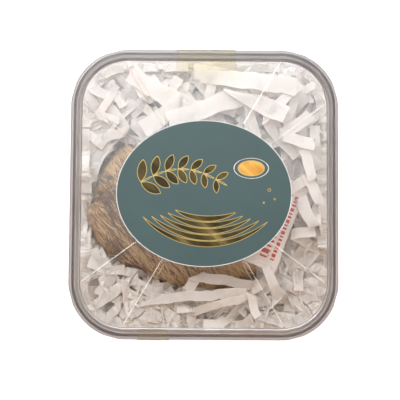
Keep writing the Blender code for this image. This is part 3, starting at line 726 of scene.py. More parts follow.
def make_tray(finish):
    """The drafted tray with its rounded foot."""
    rings = []
    for step in range(9):
        angle = math.pi / 2 * step / 8
        height = TRAY_FOOT_RADIUS * (1 - math.cos(angle))
        inset = tray_inset(TRAY_FOOT_RADIUS) + TRAY_FOOT_RADIUS * (1 - math.sin(angle))
        rings.append(fine_ring(inset, height))
    for share in (0.3, 0.6, 1.0):
        rings.append(fine_ring(tray_inset(share * tray_top()), share * tray_top()))
    count = len(rings[0])
    faces = grid_faces(len(rings), count, wrap=True)
    faces.append(list(reversed(range(count))))
    tray = new_piece("tray_clear", new_mesh("tray_clear", rings, faces), finish, 32)
    add_wall(tray, bpy.context.scene.nest_box.wall)
    return applied(tray)


def disc_grid(steps):
    """Points of a square grid pressed into a unit disc, row by row."""
    line = np.linspace(-1, 1, steps)
    a, b = np.meshgrid(line, line, indexing="ij")
    wide = np.abs(a) > np.abs(b)
    reach = np.where(wide, a, b)
    safe = np.where(reach == 0, 1, reach)
    angle = np.where(wide, math.pi / 4 * b / safe, math.pi / 2 - math.pi / 4 * a / safe)
    return reach * np.cos(angle), reach * np.sin(angle)


def leaf_distance(x, y, base, tip, width):
    """How far a point is outside a pointed leaf between two places; below 0 inside it."""
    ahead = np.subtract(tip, base)
    length = float(np.hypot(*ahead))
    ahead = ahead / length
    along = (x - (base[0] + tip[0]) / 2) * ahead[0] + (y - (base[1] + tip[1]) / 2) * ahead[1]
    across = np.abs(-(x - base[0]) * ahead[1] + (y - base[1]) * ahead[0])
    radius = (length**2 / 4 + width**2 / 4) / width
    return np.hypot(along, across + radius - width / 2) - radius


def arc_distance(x, y, centre, radius, start, end, width):
    """How far a point is outside a tapered arc's band; angles in degrees."""
    angle = np.degrees(np.arctan2(y - centre[1], x - centre[0]))
    angle = np.mod(angle - start, 360)
    span = (end - start) % 360
    share = np.clip(angle / span, 0, 1)
    taper = width / 2 * np.sin(math.pi * share) ** 0.6
    past = np.where(angle > span, 1.5, 0.0)
    return np.abs(np.hypot(x - centre[0], y - centre[1]) - radius) - taper + past


def foil_distance(x, y):
    """The label's foil: a leafy spray, arcs under it, a medallion and a few dots. Millimetres."""
    shapes = []
    stem = [(-35 + 6.9 * i, 4 + 9.5 * math.sin(0.42 * i + 0.2)) for i in range(8)]
    for i, (base, tip) in enumerate(zip(stem, stem[1:])):
        shapes.append(leaf_distance(x, y, base, tip, 1.1))
        ahead = np.subtract(tip, base) / 6.9
        for side in (1, -1):
            sideways = np.array((-ahead[1], ahead[0])) * side
            turned = ahead * LEAF_TURN[0] + sideways * LEAF_TURN[1]
            reach = 11.5 - 0.75 * i
            shapes.append(leaf_distance(x, y, base, tuple(base + turned * reach), 5.4 - 0.3 * i))
    for step in range(5):
        shapes.append(arc_distance(x, y, (2, 22), 50 - 3.5 * step, 224 + 4 * step, 312 - 4 * step, 3.3))
    shapes.append(amber_distance(x, y))
    for place, size in (((36, 2), 0.9), ((39, -3), 0.6), ((33, -5), 0.6)):
        shapes.append(np.hypot(x - place[0], y - place[1]) - size)
    return np.minimum.reduce(shapes)


def amber_distance(x, y):
    """The label's orange medallion, a plain oval. Millimetres."""
    return np.hypot((x - 26) / 1.7, y - 14) - 4.4


def white_distance(x, y):
    """The label's fine white lines: the border, and a ring round the medallion. Millimetres."""
    edge = np.hypot(x / (LABEL_WIDTH / 2 / MM), y / (LABEL_DEPTH / 2 / MM))
    border = (0.991 - edge) * 44
    ring = np.abs(np.hypot((x - 26) / 1.7, y - 14) - 5.6) - 0.16
    return np.minimum(border, ring)


def label_finish():
    """Satin print with gold foil, drawn dark with lighter streaks as painted reflection and sheen, and bright
    at its edges as painted highlight; the shapes are kept on the label as distances.
    """
    settings = bpy.context.scene.nest_label
    finish, tree, shader = new_finish("label_print", 0.42, Coat_Weight=0.15, Coat_Roughness=0.2)
    place = object_place(tree)
    share, height = mottle(tree, place, 55.0)
    ground = settings.ground
    base = mixed(tree, share, ground, scaled(ground, 1.12))
    foil = point_value(tree, "foil")
    white = point_value(tree, "white")
    gold_mask = range_of(tree, foil, 0.06, -0.06)
    white_mask = range_of(tree, white, 0.05, -0.05)
    # Painted reflection and sheen: the foil's gold is drawn dark, with lighter streaks; the orange
    # medallion's bands follow the same streaks.
    sheen, _ = mottle(tree, object_place(tree, 0.7, (1, 4, 1)), 22.0)
    shades = [scaled(settings.gold, part) for part in (0.07, 0.2, 0.6)]
    gold = ramp(tree, sheen, ((0.35, shades[0]), (0.75, shades[1]), (1.0, shades[2])))
    amber = point_value(tree, "amber")
    ambers = ((0.1, (0.42, 0.10, 0.02)), (0.5, (0.75, 0.38, 0.07)), (0.9, (0.9, 0.62, 0.25)))
    bands = ramp(tree, sheen, ambers)
    gold = mixed(tree, range_of(tree, amber, 0.3, 0.0), gold, bands)
    # Painted highlight: bright gold along the foil's edges.
    rim = range_of(tree, foil, -0.45, -0.2)
    gold = mixed(tree, rim, gold, settings.gold)
    colour = mixed(tree, gold_mask, base, gold)
    colour = mixed(tree, white_mask, colour, (0.8, 0.8, 0.8))
    tree.links.new(colour, shader.inputs["Base Color"])
    tree.links.new(range_of(tree, gold_mask, 0.0, 1.0, 0.0, 0.85), shader.inputs["Metallic"])
    tree.links.new(range_of(tree, gold_mask, 0.0, 1.0, 0.38, 0.28), shader.inputs["Roughness"])
    tree.links.new(bump(tree, height, 0.00002), shader.inputs["Normal"])
    return finish


def make_label(finish):
    """The oval label: a fine upper face that carries the print, over a plain edge and underside."""
    steps = 190
    u, v = disc_grid(steps)
    x, y = u * LABEL_WIDTH / 2, v * LABEL_DEPTH / 2
    low = LID_TOP - PANEL_DROP + GAP
    high = low + LABEL_THICKNESS
    points = np.stack((x, y, np.full_like(x, high)), -1).reshape(-1, 3)
    faces = grid_faces(steps, steps)
    border = [i * steps for i in range(steps)]
    border += [(steps - 1) * steps + j for j in range(1, steps)]
    border += [i * steps + steps - 1 for i in reversed(range(steps - 1))]
    border += [j for j in reversed(range(1, steps - 1))]
    under = points[border]
    under[:, 2] = low
    first = len(points)
    count = len(border)
    for i in range(count):
        j = (i + 1) % count
        faces.append((border[i], first + i, first + j, border[j]))
    faces.append([first + i for i in range(count)])
    every = np.concatenate((points, under))
    mesh = new_mesh("label_print", every, faces)
    in_mm = every / MM
    set_values(mesh, "foil", np.clip(foil_distance(in_mm[:, 0], in_mm[:, 1]), -3, 3))
    set_values(mesh, "amber", np.clip(amber_distance(in_mm[:, 0], in_mm[:, 1]), -3, 3))
    set_values(mesh, "white", np.clip(white_distance(in_mm[:, 0], in_mm[:, 1]), -3, 3))
    outward(mesh)
    return new_piece("label_print", mesh, finish, 30)


def outward(mesh):
    """Turns a closed mesh's faces outwards."""
    shape = bmesh.new()
    shape.from_mesh(mesh)
    bmesh.ops.recalc_face_normals(shape, faces=shape.faces)
    shape.to_mesh(mesh)
    shape.free()


def smooth_value(values, along):
    """A smooth curve through equally spaced values, read at places from 0 to 1."""
    values = np.asarray(values)
    spans = len(values) - 1
    along = np.clip(along, 0.0, 1.0) * spans
    i = np.minimum(along.astype(int), spans - 1)
    t = along - i
    before, here = values[np.maximum(i - 1, 0)], values[i]
    after, beyond = values[i + 1], values[np.minimum(i + 2, spans)]
    slope, bend = after - before, 2 * before - 5 * here + 4 * after - beyond
    twist = 3 * (here - after) + beyond - before
    return here + 0.5 * t * (slope + t * (bend + t * twist))


def nest_axes():
    """The way along the nest's straight back edge, and the way out from it."""
    edge = np.array((math.cos(NEST_EDGE_ANGLE), math.sin(NEST_EDGE_ANGLE)))
    return edge, np.array((edge[1], -edge[0]))


def nest_reach(angle):
    """How far the nest's rim is from the middle of its straight edge, with its small raggedness."""
    ragged = lattice_noise(angle * 9, 0.5, 3) * 1.2 * MM + lattice_noise(angle * 27, 0.5, 4) * 0.7 * MM
    return smooth_value(NEST_RADII, angle / math.pi) + ragged - 0.6 * MM


def strand_place(x, y):
    """Places along and across the strands, which bend with the rim low down on the left. Metres."""
    edge, outward_way = nest_axes()
    dx, dy = x - NEST_CENTRE[0], y - NEST_CENTRE[1]
    along = dx * edge[0] + dy * edge[1]
    out = dx * outward_way[0] + dy * outward_way[1]
    sway = 5.0 * MM * lattice_noise(along / 0.026, out / 0.020, 5)
    sway += 2.0 * MM * lattice_noise(along / 0.010, out / 0.008, 6)
    return along, out + 0.16 * along + sway


def strand_relief(x, y):
    """Height of the nest's ridges, from about -1 to 1."""
    along, across = strand_place(x, y)
    relief = 0.55 * lattice_noise(along / 0.030, across / 0.0065, 11)
    relief += 0.34 * lattice_noise(along / 0.018, across / 0.0028, 12)
    relief += 0.20 * (1 - 2 * np.abs(lattice_noise(along / 0.012, across / 0.0017, 13)))
    relief += 0.09 * lattice_noise(along / 0.008, across / 0.0008, 14)
    relief += 0.16 * lattice_noise(along / 0.004, across / 0.004, 15)
    return relief


def nest_surface(angle, share, inner):
    """Points of the nest's outer or inner face, before its relief."""
    edge, outward_way = nest_axes()
    reach = nest_reach(angle)
    foot = np.abs(np.cos(angle)) ** NEST_FOOT_TAPER
    if inner:
        reach = reach - NEST_RIM_WALL - NEST_FOOT_WALL * foot
    rise = NEST_RISE - (NEST_CROWN_WALL if inner else 0.6 * MM)
    rounded = np.maximum(0.0, 1 - share**NEST_ROUNDNESS) ** (1 / NEST_ROUNDNESS)
    radial = np.cos(angle)[..., None] * edge + np.sin(angle)[..., None] * outward_way
    flat = NEST_CENTRE + (reach * share)[..., None] * radial
    height = NEST_REST + GAP + rise * rounded
    return np.concatenate((flat, height[..., None]), -1)


def nest_top(x, y):
    """The height of the nest's outer face over a place, and how far in from its rim the place is, 0 to 1."""
    edge, outward_way = nest_axes()
    dx, dy = x - NEST_CENTRE[0], y - NEST_CENTRE[1]
    across, out = dx * edge[0] + dy * edge[1], dx * outward_way[0] + dy * outward_way[1]
    angle = np.arctan2(np.maximum(out, 0.0), across)
    share = np.hypot(across, out) / nest_reach(angle)
    rounded = np.maximum(0.0, 1 - np.minimum(share, 1.0) ** NEST_ROUNDNESS) ** (1 / NEST_ROUNDNESS)
    relief = bpy.context.scene.nest_form.relief * strand_relief(x, y)
    height = NEST_REST + GAP + (NEST_RISE - 0.6 * MM) * rounded + relief
    return height, np.where(out < 0, -1.0, 1 - share)


def upward_normals(surface):
    """Normals of a grid of points, turned upwards, and straight up where the grid closes to one point."""
    normal = np.cross(np.gradient(surface, axis=0), np.gradient(surface, axis=1))
    length = np.linalg.norm(normal, axis=-1, keepdims=True)
    normal = np.divide(normal, length, out=np.zeros_like(normal), where=length > 1e-12)
    return np.where(length > 1e-12, normal * np.sign(normal[..., 2:] + 1e-9), (0.0, 0.0, 1.0))


def make_nest(finish):
    """A half-cup shell with ridged outer face, smoother hollow and a broken back edge."""
    rows, columns = 380, 110
    angle = np.linspace(0, math.pi, rows)[:, None] + np.zeros((1, columns))
    along = np.linspace(0, 1, columns)[None, :] + np.zeros((rows, 1))
    share = np.sin(math.pi / 2 * along) ** 0.8
    outer = nest_surface(angle, share, False)
    inner = nest_surface(angle, share, True)
    normal = upward_normals(outer)
    form = bpy.context.scene.nest_form
    relief = form.relief * strand_relief(outer[..., 0], outer[..., 1])
    pinned = smooth_step(0.0, 0.05, 1 - share) * smooth_step(0.0, 0.04, share)
    outer = outer + normal * (relief * pinned)[..., None]
    hollow = 0.5 * form.relief * strand_relief(inner[..., 0] * 1.3, inner[..., 1] * 1.3)
    inner[..., 2] += hollow * smooth_step(0.0, 0.1, 1 - share) * smooth_step(0.0, 0.06, share)
    points = np.concatenate((outer.reshape(-1, 3), inner[::2, ::2].reshape(-1, 3)))
    inner_rows, inner_columns = inner[::2, ::2].shape[:2]
    faces = grid_faces(rows, columns)
    first = rows * columns
    for a, b, c, d in grid_faces(inner_rows, inner_columns):
        faces.append((first + a, first + d, first + c, first + b))
    mesh = new_mesh("nest_body", points, faces)
    shape = bmesh.new()
    shape.from_mesh(mesh)
    bmesh.ops.remove_doubles(shape, verts=shape.verts, dist=1e-7)
    open_edges = [edge for edge in shape.edges if edge.is_boundary]
    bmesh.ops.bridge_loops(shape, edges=open_edges)
    bmesh.ops.recalc_face_normals(shape, faces=shape.faces)
    shape.to_mesh(mesh)
    shape.free()
    return new_piece("nest_body", mesh, finish, 80)


def strand_colours(tree, tone):
    """Colours of the strands, from pale and yellowish to brown, by a tone."""
    form = bpy.context.scene.nest_form
    pale, brown = np.array(form.pale), np.array(form.brown)
    stops = (
        (0.0, tuple(brown * 0.55)),
        (0.3, tuple(brown)),
        (0.6, tuple(brown * 0.45 + pale * 0.55)),
        (1.0, tuple(pale)),
    )
    return ramp(tree, tone, stops)


def nest_finish():
    """Dried, slightly glassy strands: streaked along their run, paler towards the upper left."""
    finish, tree, shader = new_finish(
        "nest_fibre", 0.5, Subsurface_Weight=0.1, Subsurface_Scale=0.003, Coat_Weight=0.3, Coat_Roughness=0.3
    )
    shader.inputs["Subsurface Radius"].default_value = (1.0, 0.55, 0.3)
    streaks = object_place(tree, -NEST_EDGE_ANGLE, (0.12, 1.0, 0.4))
    wide, _ = mottle(tree, streaks, 190.0)
    narrow, _ = mottle(tree, streaks, 620.0)
    fine, height = mottle(tree, streaks, 1500.0, fine=2.0)
    patches, _ = mottle(tree, object_place(tree), 45.0)
    tone = point_value(tree, "tone")
    for value, share in ((wide, 0.20), (narrow, 0.32), (fine, 0.32), (patches, 0.18)):
        centred = range_of(tree, value, 0.0, 1.0, -share, share)
        tone = add_node(tree, "ShaderNodeMath", {0: tone, 1: centred}, operation="ADD").outputs[0]
    colour = strand_colours(tree, tone)
    colour = mixed(tree, point_value(tree, "stain"), colour, (0.2, 0.055, 0.03))
    colour = mixed(tree, point_value(tree, "grey"), colour, (0.12, 0.095, 0.07))
    colour = mixed(tree, point_value(tree, "gilt"), colour, (0.66, 0.59, 0.33))
    tree.links.new(colour, shader.inputs["Base Color"])
    tree.links.new(range_of(tree, fine, 0.0, 1.0, 0.38, 0.62), shader.inputs["Roughness"])
    tree.links.new(bump(tree, height, 0.0004, 0.7), shader.inputs["Normal"])
    return finish


def spot(x, y, centre, size):
    """1 in the middle of a spot and 0 outside it; sizes in millimetres, turned by an angle in degrees."""
    wide, deep, turn = size
    turn = math.radians(turn)
    dx, dy = x / MM - centre[0], y / MM - centre[1]
    along = (dx * math.cos(turn) + dy * math.sin(turn)) / wide
    across = (-dx * math.sin(turn) + dy * math.cos(turn)) / deep
    return 1 - smooth_step(0.5, 1.0, np.hypot(along, across))


# Places on the nest in millimetres: middle, then half-length, half-width and angle
REDDISH_PLACES = (
    ((-35, -42), (13, 4.0, -30)),
    ((-20, -44), (8, 3.2, -18)),
    ((-61, -30), (9, 3.0, -62)),
    ((-48, -36), (7, 3.0, -35)),
)
GREY_PLACES = (
    ((-53, 5), (12, 7, -55)),
    ((-51, -31), (7, 5, -30)),
    ((-52, -19), (8, 2.4, -15)),
    ((-65, -18), (2.5, 1.5, -40)),
    ((-46, -16), (9, 5, -45)),
)
GILT_PLACES = (((-60, 14), (19, 4.5, 66)), ((-65, -2), (12, 3.5, 80)))

# Where the fibres tangle and where barbs gather, in millimetres: middle, then spread, then how many
TANGLES = (((-50, -31), (6, 5), 90), ((-33, -41), (8, 3), 34), ((-54, -3), (8, 7), 60))
BARB_PLACES = (((-54, 0), (5, 11)), ((-50, -30), (5, 4)), ((-30, -43), (9, 3)))
RIM_FRAYS = 150


def nest_tones(x, y):
    """Tone, reddish stain, grey flecks and the yellowish thin edge over the nest."""
    along, across = strand_place(x, y)
    tone = 0.60 + 0.10 * smooth_step(-0.02, 0.05, y) + 0.12 * smooth_step(0.0, 0.035, -y - 0.012)
    tone = tone + 0.38 * smooth_step(-0.02, 0.03, x) * smooth_step(0.0, 0.03, -y)
    tone = tone + 0.14 * lattice_noise(along / 0.024, across / 0.007, 21)
    tone = tone + 0.12 * lattice_noise(along / 0.012, across / 0.0026, 22)
    tone = tone - 0.24 * spot(x, y, (-58, -6), (21, 14, 85))
    broken = 0.5 + 0.5 * lattice_noise(along / 0.008, across / 0.0011, 23)
    fleck = smooth_step(0.45, 0.75, broken)
    dash = smooth_step(0.35, 0.7, 0.5 + 0.5 * lattice_noise(along / 0.013, across / 0.0020, 24))
    stain = sum(spot(x, y, middle, size) for middle, size in REDDISH_PLACES) * dash
    grey = sum(spot(x, y, middle, size) for middle, size in GREY_PLACES) * fleck * 0.75
    gilt = sum(spot(x, y, middle, size) for middle, size in GILT_PLACES) * (0.35 + 0.4 * broken)
    return tone, np.clip(stain, 0, 1), np.clip(grey, 0, 1), np.clip(gilt, 0, 1)


def tint_nest(mesh):
    """Keeps the tone and the stains on the nest's points."""
    points = read_points(mesh)
    names = ("tone", "stain", "grey", "gilt")
    for name, values in zip(names, nest_tones(points[:, 0], points[:, 1])):
        set_values(mesh, name, values)


def surface_path(chance, start, heading, length, lift, wander):
    """A path that wanders over the nest's outer face from a place, in short steps."""
    steps = max(6, int(length / (1.3 * MM)))
    x, y = start
    points = []
    for _ in range(steps):
        points.append((x, y))
        heading += chance.normal(0, wander)
        x += math.cos(heading) * length / steps
        y += math.sin(heading) * length / steps
    points = np.array(points)
    height, inside = nest_top(points[:, 0], points[:, 1])
    keep = inside > 0.035
    if keep.sum() < 5:
        return None
    first = int(np.argmax(keep))
    last = first + int(np.argmin(keep[first:])) if not keep[first:].all() else len(keep)
    if last - first < 5:
        return None
    points, height = points[first:last], height[first:last]
    arch = np.sin(np.linspace(0, math.pi, len(points)))
    return np.column_stack((points, height + lift * (0.3 + arch)))


def nest_start(chance):
    """A random place on the nest, and the strands' direction there."""
    edge, outward_way = nest_axes()
    angle = math.pi * chance.uniform(0.02, 0.98)
    reach = float(nest_reach(np.array(angle))) * math.sqrt(chance.uniform(0.0, 0.95))
    place = NEST_CENTRE + reach * (math.cos(angle) * edge + math.sin(angle) * outward_way)
    return place, NEST_EDGE_ANGLE - 0.16


def make_strands(finish):
    """Loose strands that follow the nest's surface, and short frays along its rim."""
    form = bpy.context.scene.nest_form
    chance = np.random.default_rng(41)
    paths = []
    while len(paths) < form.strands:
        start, heading = nest_start(chance)
        length = chance.uniform(9, 42) * MM
        path = surface_path(chance, start, heading + chance.normal(0, 0.16), length, 0.15 * MM, 0.07)
        if path is None:
            continue
        girth = form.strand_radius * chance.uniform(0.45, 1.5)
        taper = 1 - 0.75 * np.abs(np.linspace(-1, 1, len(path))) ** 3
        tone = float(nest_tones(path[:1, 0], path[:1, 1])[0][0])
        tone += chance.choice((-0.42, 0.42)) + chance.uniform(-0.15, 0.15)
        paths.append({"points": path, "girth": girth * taper, "tone": tone})
    paths += [rim_fray(chance, form.strand_radius) for _ in range(RIM_FRAYS)]
    return swept_piece("nest_strands", paths, finish, False)


def rim_fray(chance, radius):
    """One short strand that sticks out from the nest's rim."""
    edge, outward_way = nest_axes()
    angle = math.pi * chance.uniform(0.02, 0.98)
    share = chance.uniform(0.9, 0.995)
    base = nest_surface(np.array([angle]), np.array([share]), False)[0]
    radial = math.cos(angle) * edge + math.sin(angle) * outward_way
    along_rim = np.array((-radial[1], radial[0]))
    way = radial * chance.uniform(0.1, 1.0) + along_rim * chance.normal(0, 1.2)
    way /= np.hypot(*way)
    length = chance.uniform(1.5, 5.0) * MM
    steps = np.linspace(0, 1, 7)
    flat = base[:2] + np.outer(steps * length, way) - np.outer((1 - steps) * 1.0 * MM, radial)
    height = base[2] + length * (chance.uniform(-0.35, 0.25) * steps - 0.3 * steps**2)
    tone = 0.55 + chance.uniform(-0.25, 0.3)
    girth = radius * chance.uniform(0.4, 0.8) * (1 - 0.8 * steps)
    points = np.column_stack((flat, np.maximum(height, NEST_REST + 1 * MM)))
    return {"points": points, "girth": girth, "tone": tone}


def make_tangle(finish):
    """Curled thin fibres in three net-like patches at the nest's left and near its front."""
    chance = np.random.default_rng(43)
    paths = []
    for middle, size, count in TANGLES:
        for _ in range(count):
            start = (np.array(middle) + chance.normal(0, 0.5, 2) * size) * MM
            heading = chance.uniform(0, 2 * math.pi)
            length = chance.uniform(4, 12) * MM
            path = surface_path(chance, start, heading, length, 0.35 * MM, 0.45)
            if path is not None:
                paths.append({"points": path, "girth": 0.16 * MM, "tone": chance.uniform(-0.6, 0.3)})
    return swept_piece("nest_tangle", paths, finish, False, sides=4)


def make_barbs(finish):
    """Tiny dark feather barbs caught under and over the strands."""
    form = bpy.context.scene.nest_form
    chance = np.random.default_rng(47)
    paths = []
    while len(paths) < form.barbs:
        if chance.random() < 0.6:
            middle, size = BARB_PLACES[int(chance.integers(len(BARB_PLACES)))]
            start = (np.array(middle) + chance.normal(0, 0.5, 2) * size) * MM
            heading = NEST_EDGE_ANGLE
        else:
            start, heading = nest_start(chance)
        heading += chance.normal(0, 0.5)
        path = surface_path(chance, start, heading, chance.uniform(1.5, 5.5) * MM, 0.2 * MM, 0.2)
        if path is None:
            continue
        paths.append({"points": path, "girth": 0.13 * MM * chance.uniform(0.5, 1.2), "tone": 0.0})
    return swept_piece("nest_barbs", paths, finish, False, sides=4)


def barb_finish():
    """Feather barbs: dark grey-brown, dull."""
    finish, tree, shader = new_finish("feather_barb", 0.7)
    share, height = mottle(tree, object_place(tree), 300.0)
    tree.links.new(mixed(tree, share, (0.05, 0.04, 0.035), (0.14, 0.11, 0.09)), shader.inputs["Base Color"])
    tree.links.new(bump(tree, height, 0.0001), shader.inputs["Normal"])
    return finish


def bed_tree():
    """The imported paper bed, for reading where its top is."""
    node = frame["nodes"]["paper_bed"]
    points = [corner.co.copy() for corner in node.data.vertices]
    return BVHTree.FromPolygons(points, [tuple(face.vertices) for face in node.data.polygons])


def bed_heights():
    """The bed's top over a square grid 2 mm apart, as a function of places."""
    tree = bed_tree()
    cell = 2 * MM
    columns, rows = int(BOX_WIDTH / cell) + 1, int(BOX_DEPTH / cell) + 1
    top = np.zeros((columns, rows))
    for i in range(columns):
        for j in range(rows):
            place = Vector((i * cell - BOX_WIDTH / 2, j * cell - BOX_DEPTH / 2, LID_TOP))
            hit = tree.ray_cast(place, Vector((0, 0, -1)))[0]
            top[i, j] = hit.z if hit else 0.0
    for _ in range(6):
        spread = top.copy()
        for shift_x, shift_y in ((1, 0), (-1, 0), (0, 1), (0, -1)):
            spread = np.maximum(spread, np.where(top > 0, 0, np.roll(top, (shift_x, shift_y), (0, 1))))
        top = np.where(top > 0, top, spread)

    def height(x, y):
        u = np.clip((np.asarray(x) + BOX_WIDTH / 2) / cell, 0, columns - 1.001)
        v = np.clip((np.asarray(y) + BOX_DEPTH / 2) / cell, 0, rows - 1.001)
        i, j = u.astype(int), v.astype(int)
        u, v = u - i, v - j
        near = top[i, j] * (1 - u) + top[i + 1, j] * u
        far = top[i, j + 1] * (1 - u) + top[i + 1, j + 1] * u
        return near * (1 - v) + far * v

    return height


def inside_tray(points, margin):
    """Points moved in, where needed, so that they keep a margin from the tray's wall."""
    moved = points.copy()
    inset = tray_inset(points[:, 2]) + PACKED_WALL + margin
    half_x, half_y = BOX_WIDTH / 2 - inset, BOX_DEPTH / 2 - inset
    radius = CORNER_RADIUS - inset
    x = np.clip(points[:, 0], -half_x, half_x)
    y = np.clip(points[:, 1], -half_y, half_y)
    corner_x, corner_y = np.abs(x) - half_x + radius, np.abs(y) - half_y + radius
    out = np.hypot(corner_x, corner_y)
    beyond = (corner_x > 0) & (corner_y > 0) & (out > radius)
    scale = np.where(beyond, radius / np.maximum(out, 1e-9), 1.0)
    moved[:, 0] = np.where(beyond, np.sign(x) * (half_x - radius + corner_x * scale), x)
    moved[:, 1] = np.where(beyond, np.sign(y) * (half_y - radius + corner_y * scale), y)
    return moved


def smoothed(values, times):
    """A row of values, each averaged with its neighbours a number of times."""
    for _ in range(times):
        padded = np.concatenate((values[:1], values, values[-1:]))
        values = (padded[:-2] + padded[1:-1] * 2 + padded[2:]) / 4
    return values


class Heap:
    """The height of the shreds laid so far, on cells of a square grid."""

    def __init__(self):
        self.cell = 1.5 * MM
        columns, rows = int(BOX_WIDTH / self.cell) + 2, int(BOX_DEPTH / self.cell) + 2
        self.top = np.full((columns, rows), TRAY_FLOOR)

    def cells(self, x, y):
        """The cells that places fall in."""
        i = np.clip(((x + BOX_WIDTH / 2) / self.cell).astype(int), 0, self.top.shape[0] - 1)
        j = np.clip(((y + BOX_DEPTH / 2) / self.cell).astype(int), 0, self.top.shape[1] - 1)
        return i, j

    def cover(self, x, y, headings, spans, top):
        """Raises the heap along a shred, and under its two edges."""
        np.maximum.at(self.top, self.cells(x, y), top)
        for side in (-1, 1):
            edge = self.cells(x - np.sin(headings) * spans * side, y + np.cos(headings) * spans * side)
            np.maximum.at(self.top, edge, top - 0.3 * MM)


def shred_path(chance, share, width):
    """The plan of one shred: nearly straight, or gently curved, in even steps inside the tray."""
    angle = chance.uniform(0, 2 * math.pi)
    reach = math.sqrt(chance.uniform(0.0 if share < 0.4 else 0.12, 1.0))
    start = (reach * BOX_WIDTH * 0.47 * math.cos(angle), reach * BOX_DEPTH * 0.47 * math.sin(angle))
    heading = chance.uniform(0, 2 * math.pi)
    length = chance.uniform(24, 80 if share < ON_TOP else 52) * MM
    if 0.70 < share < 0.75:
        start = (-BOX_WIDTH * chance.uniform(0.42, 0.47), chance.uniform(-48, 48) * MM)
        heading = math.pi / 2 + chance.normal(0, 0.5)
        length = chance.uniform(12, 34) * MM
    count = max(6, int(length / (3.0 * MM)))
    headings = heading + np.cumsum(chance.normal(0, 0.028) + chance.normal(0, 0.03, count))
    step = length / count
    x = start[0] + np.cumsum(np.cos(headings)) * step
    y = start[1] + np.cumsum(np.sin(headings)) * step
    flat = inside_tray(np.column_stack((x, y, np.full_like(x, 12 * MM))), width / 2)
    return flat[:, 0], flat[:, 1], headings


def under_sachet(x, y):
    """Which places lie under the sachet."""
    dx, dy = x - SACHET_CENTRE[0], y - SACHET_CENTRE[1]
    along = dx * math.cos(SACHET_ANGLE) + dy * math.sin(SACHET_ANGLE)
    across = dy * math.cos(SACHET_ANGLE) - dx * math.sin(SACHET_ANGLE)
    return (np.abs(along) < SACHET_LENGTH / 2 + 4 * MM) & (np.abs(across) < SACHET_WIDTH / 2 + 4 * MM)


def shred_ceiling(bed, x, y, beside, on_top):
    """How high a shred may lie: the bed's top, more beside the nest, and more again for the top ones."""
    ceiling = bed(x, y)
    clear = smooth_step(0.0, -0.05, beside)
    ceiling = np.maximum(ceiling, ceiling * (1 - clear) + MOAT_CEILING * clear)
    if on_top:
        ceiling = ceiling + np.where(under_sachet(x, y), 0.0, TOP_LOFT)
        ceiling = np.minimum(ceiling, TOP_CEILING)
    return ceiling


def shred_bend(chance, count, lively):
    """How a shred rises and rolls along its length."""
    wave = smoothed(chance.normal(0, 1, count), 4) * 5.0 * MM * lively
    wave += chance.uniform(0.0, 1.0) * 3.5 * MM * np.sin(np.linspace(0, chance.uniform(2, 9), count))
    roll = smoothed(chance.normal(0, 1, count), 5) * chance.uniform(0.3, 2.2) * lively
    return wave, np.clip(roll + chance.normal(0, 0.25), -1.35, 1.35)


def lay_shred(chance, share, width, bed, heap):
    """One shred laid on the heap, as a path, or nothing where there is no room for it."""
    on_top = share >= ON_TOP
    x, y, headings = shred_path(chance, share, width)
    beside = nest_top(x, y)[1]
    if on_top and beside.max() > 0:
        return None
    ceiling = shred_ceiling(bed, x, y, beside, on_top)
    laid = heap.top[heap.cells(x, y)]
    if on_top:
        under = smoothed(np.maximum(laid, smoothed(laid, 2)), 2)
    else:
        level = TRAY_FLOOR + (ceiling - TRAY_FLOOR) * min(1.0, share / 0.62)
        under = np.maximum(smoothed(laid, 3), level - 2.5 * MM)
        if share > 0.6 and np.mean(under > ceiling - 1.2 * MM) > 0.4:
            return None
    wave, roll = shred_bend(chance, len(x), 0.45 if on_top else 1.0)
    lean = np.abs(np.sin(roll)) * width / 2
    height = under + 0.4 * MM + np.maximum(wave, 0) + lean * 0.6
    height = np.minimum(height, ceiling - lean * 0.85 - 0.3 * MM)
    height = np.maximum(smoothed(height, 1), 1.5 * MM + lean)
    top = height + 0.2 * MM if on_top else height - lean * 0.3
    heap.cover(x, y, headings, width / 2 * np.cos(roll), top)
    points = np.column_stack((x, y, height))
    return {"points": points, "girth": width, "roll": roll, "tone": chance.uniform(0, 1)}


def make_shreds(finish):
    """The shredded paper, laid shred on shred from the tray's floor, with the last ones loose on top."""
    settings = bpy.context.scene.nest_paper
    chance = np.random.default_rng(17)
    bed = bed_heights()
    heap = Heap()
    paths = []
    for number in range(settings.shreds):
        width = settings.width * chance.uniform(0.82, 1.12)
        path = lay_shred(chance, number / settings.shreds, width, bed, heap)
        if path is not None:
            paths.append(path)
    shreds = swept_piece("paper_shreds", paths, finish, True, thickness=0.022)
    merged(shreds.data)
    return shreds


def strip_mesh(node):
    """A packed strip's mesh in quads, with its folds marked as creases."""
    shape = bmesh.new()
    shape.from_mesh(node.data)
    bmesh.ops.remove_doubles(shape, verts=shape.verts, dist=1e-6)
    bmesh.ops.join_triangles(
        shape,
        faces=shape.faces,
        angle_face_threshold=math.radians(35),
        angle_shape_threshold=math.radians(70),
    )
    crease = shape.edges.layers.float.new("crease_edge")
    for edge in shape.edges:
        if edge.calc_face_angle(0.0) > math.radians(65):
            edge[crease] = 1.0
    mesh = bpy.data.meshes.new(node.name + "_soft")
    shape.to_mesh(mesh)
    shape.free()
    return mesh


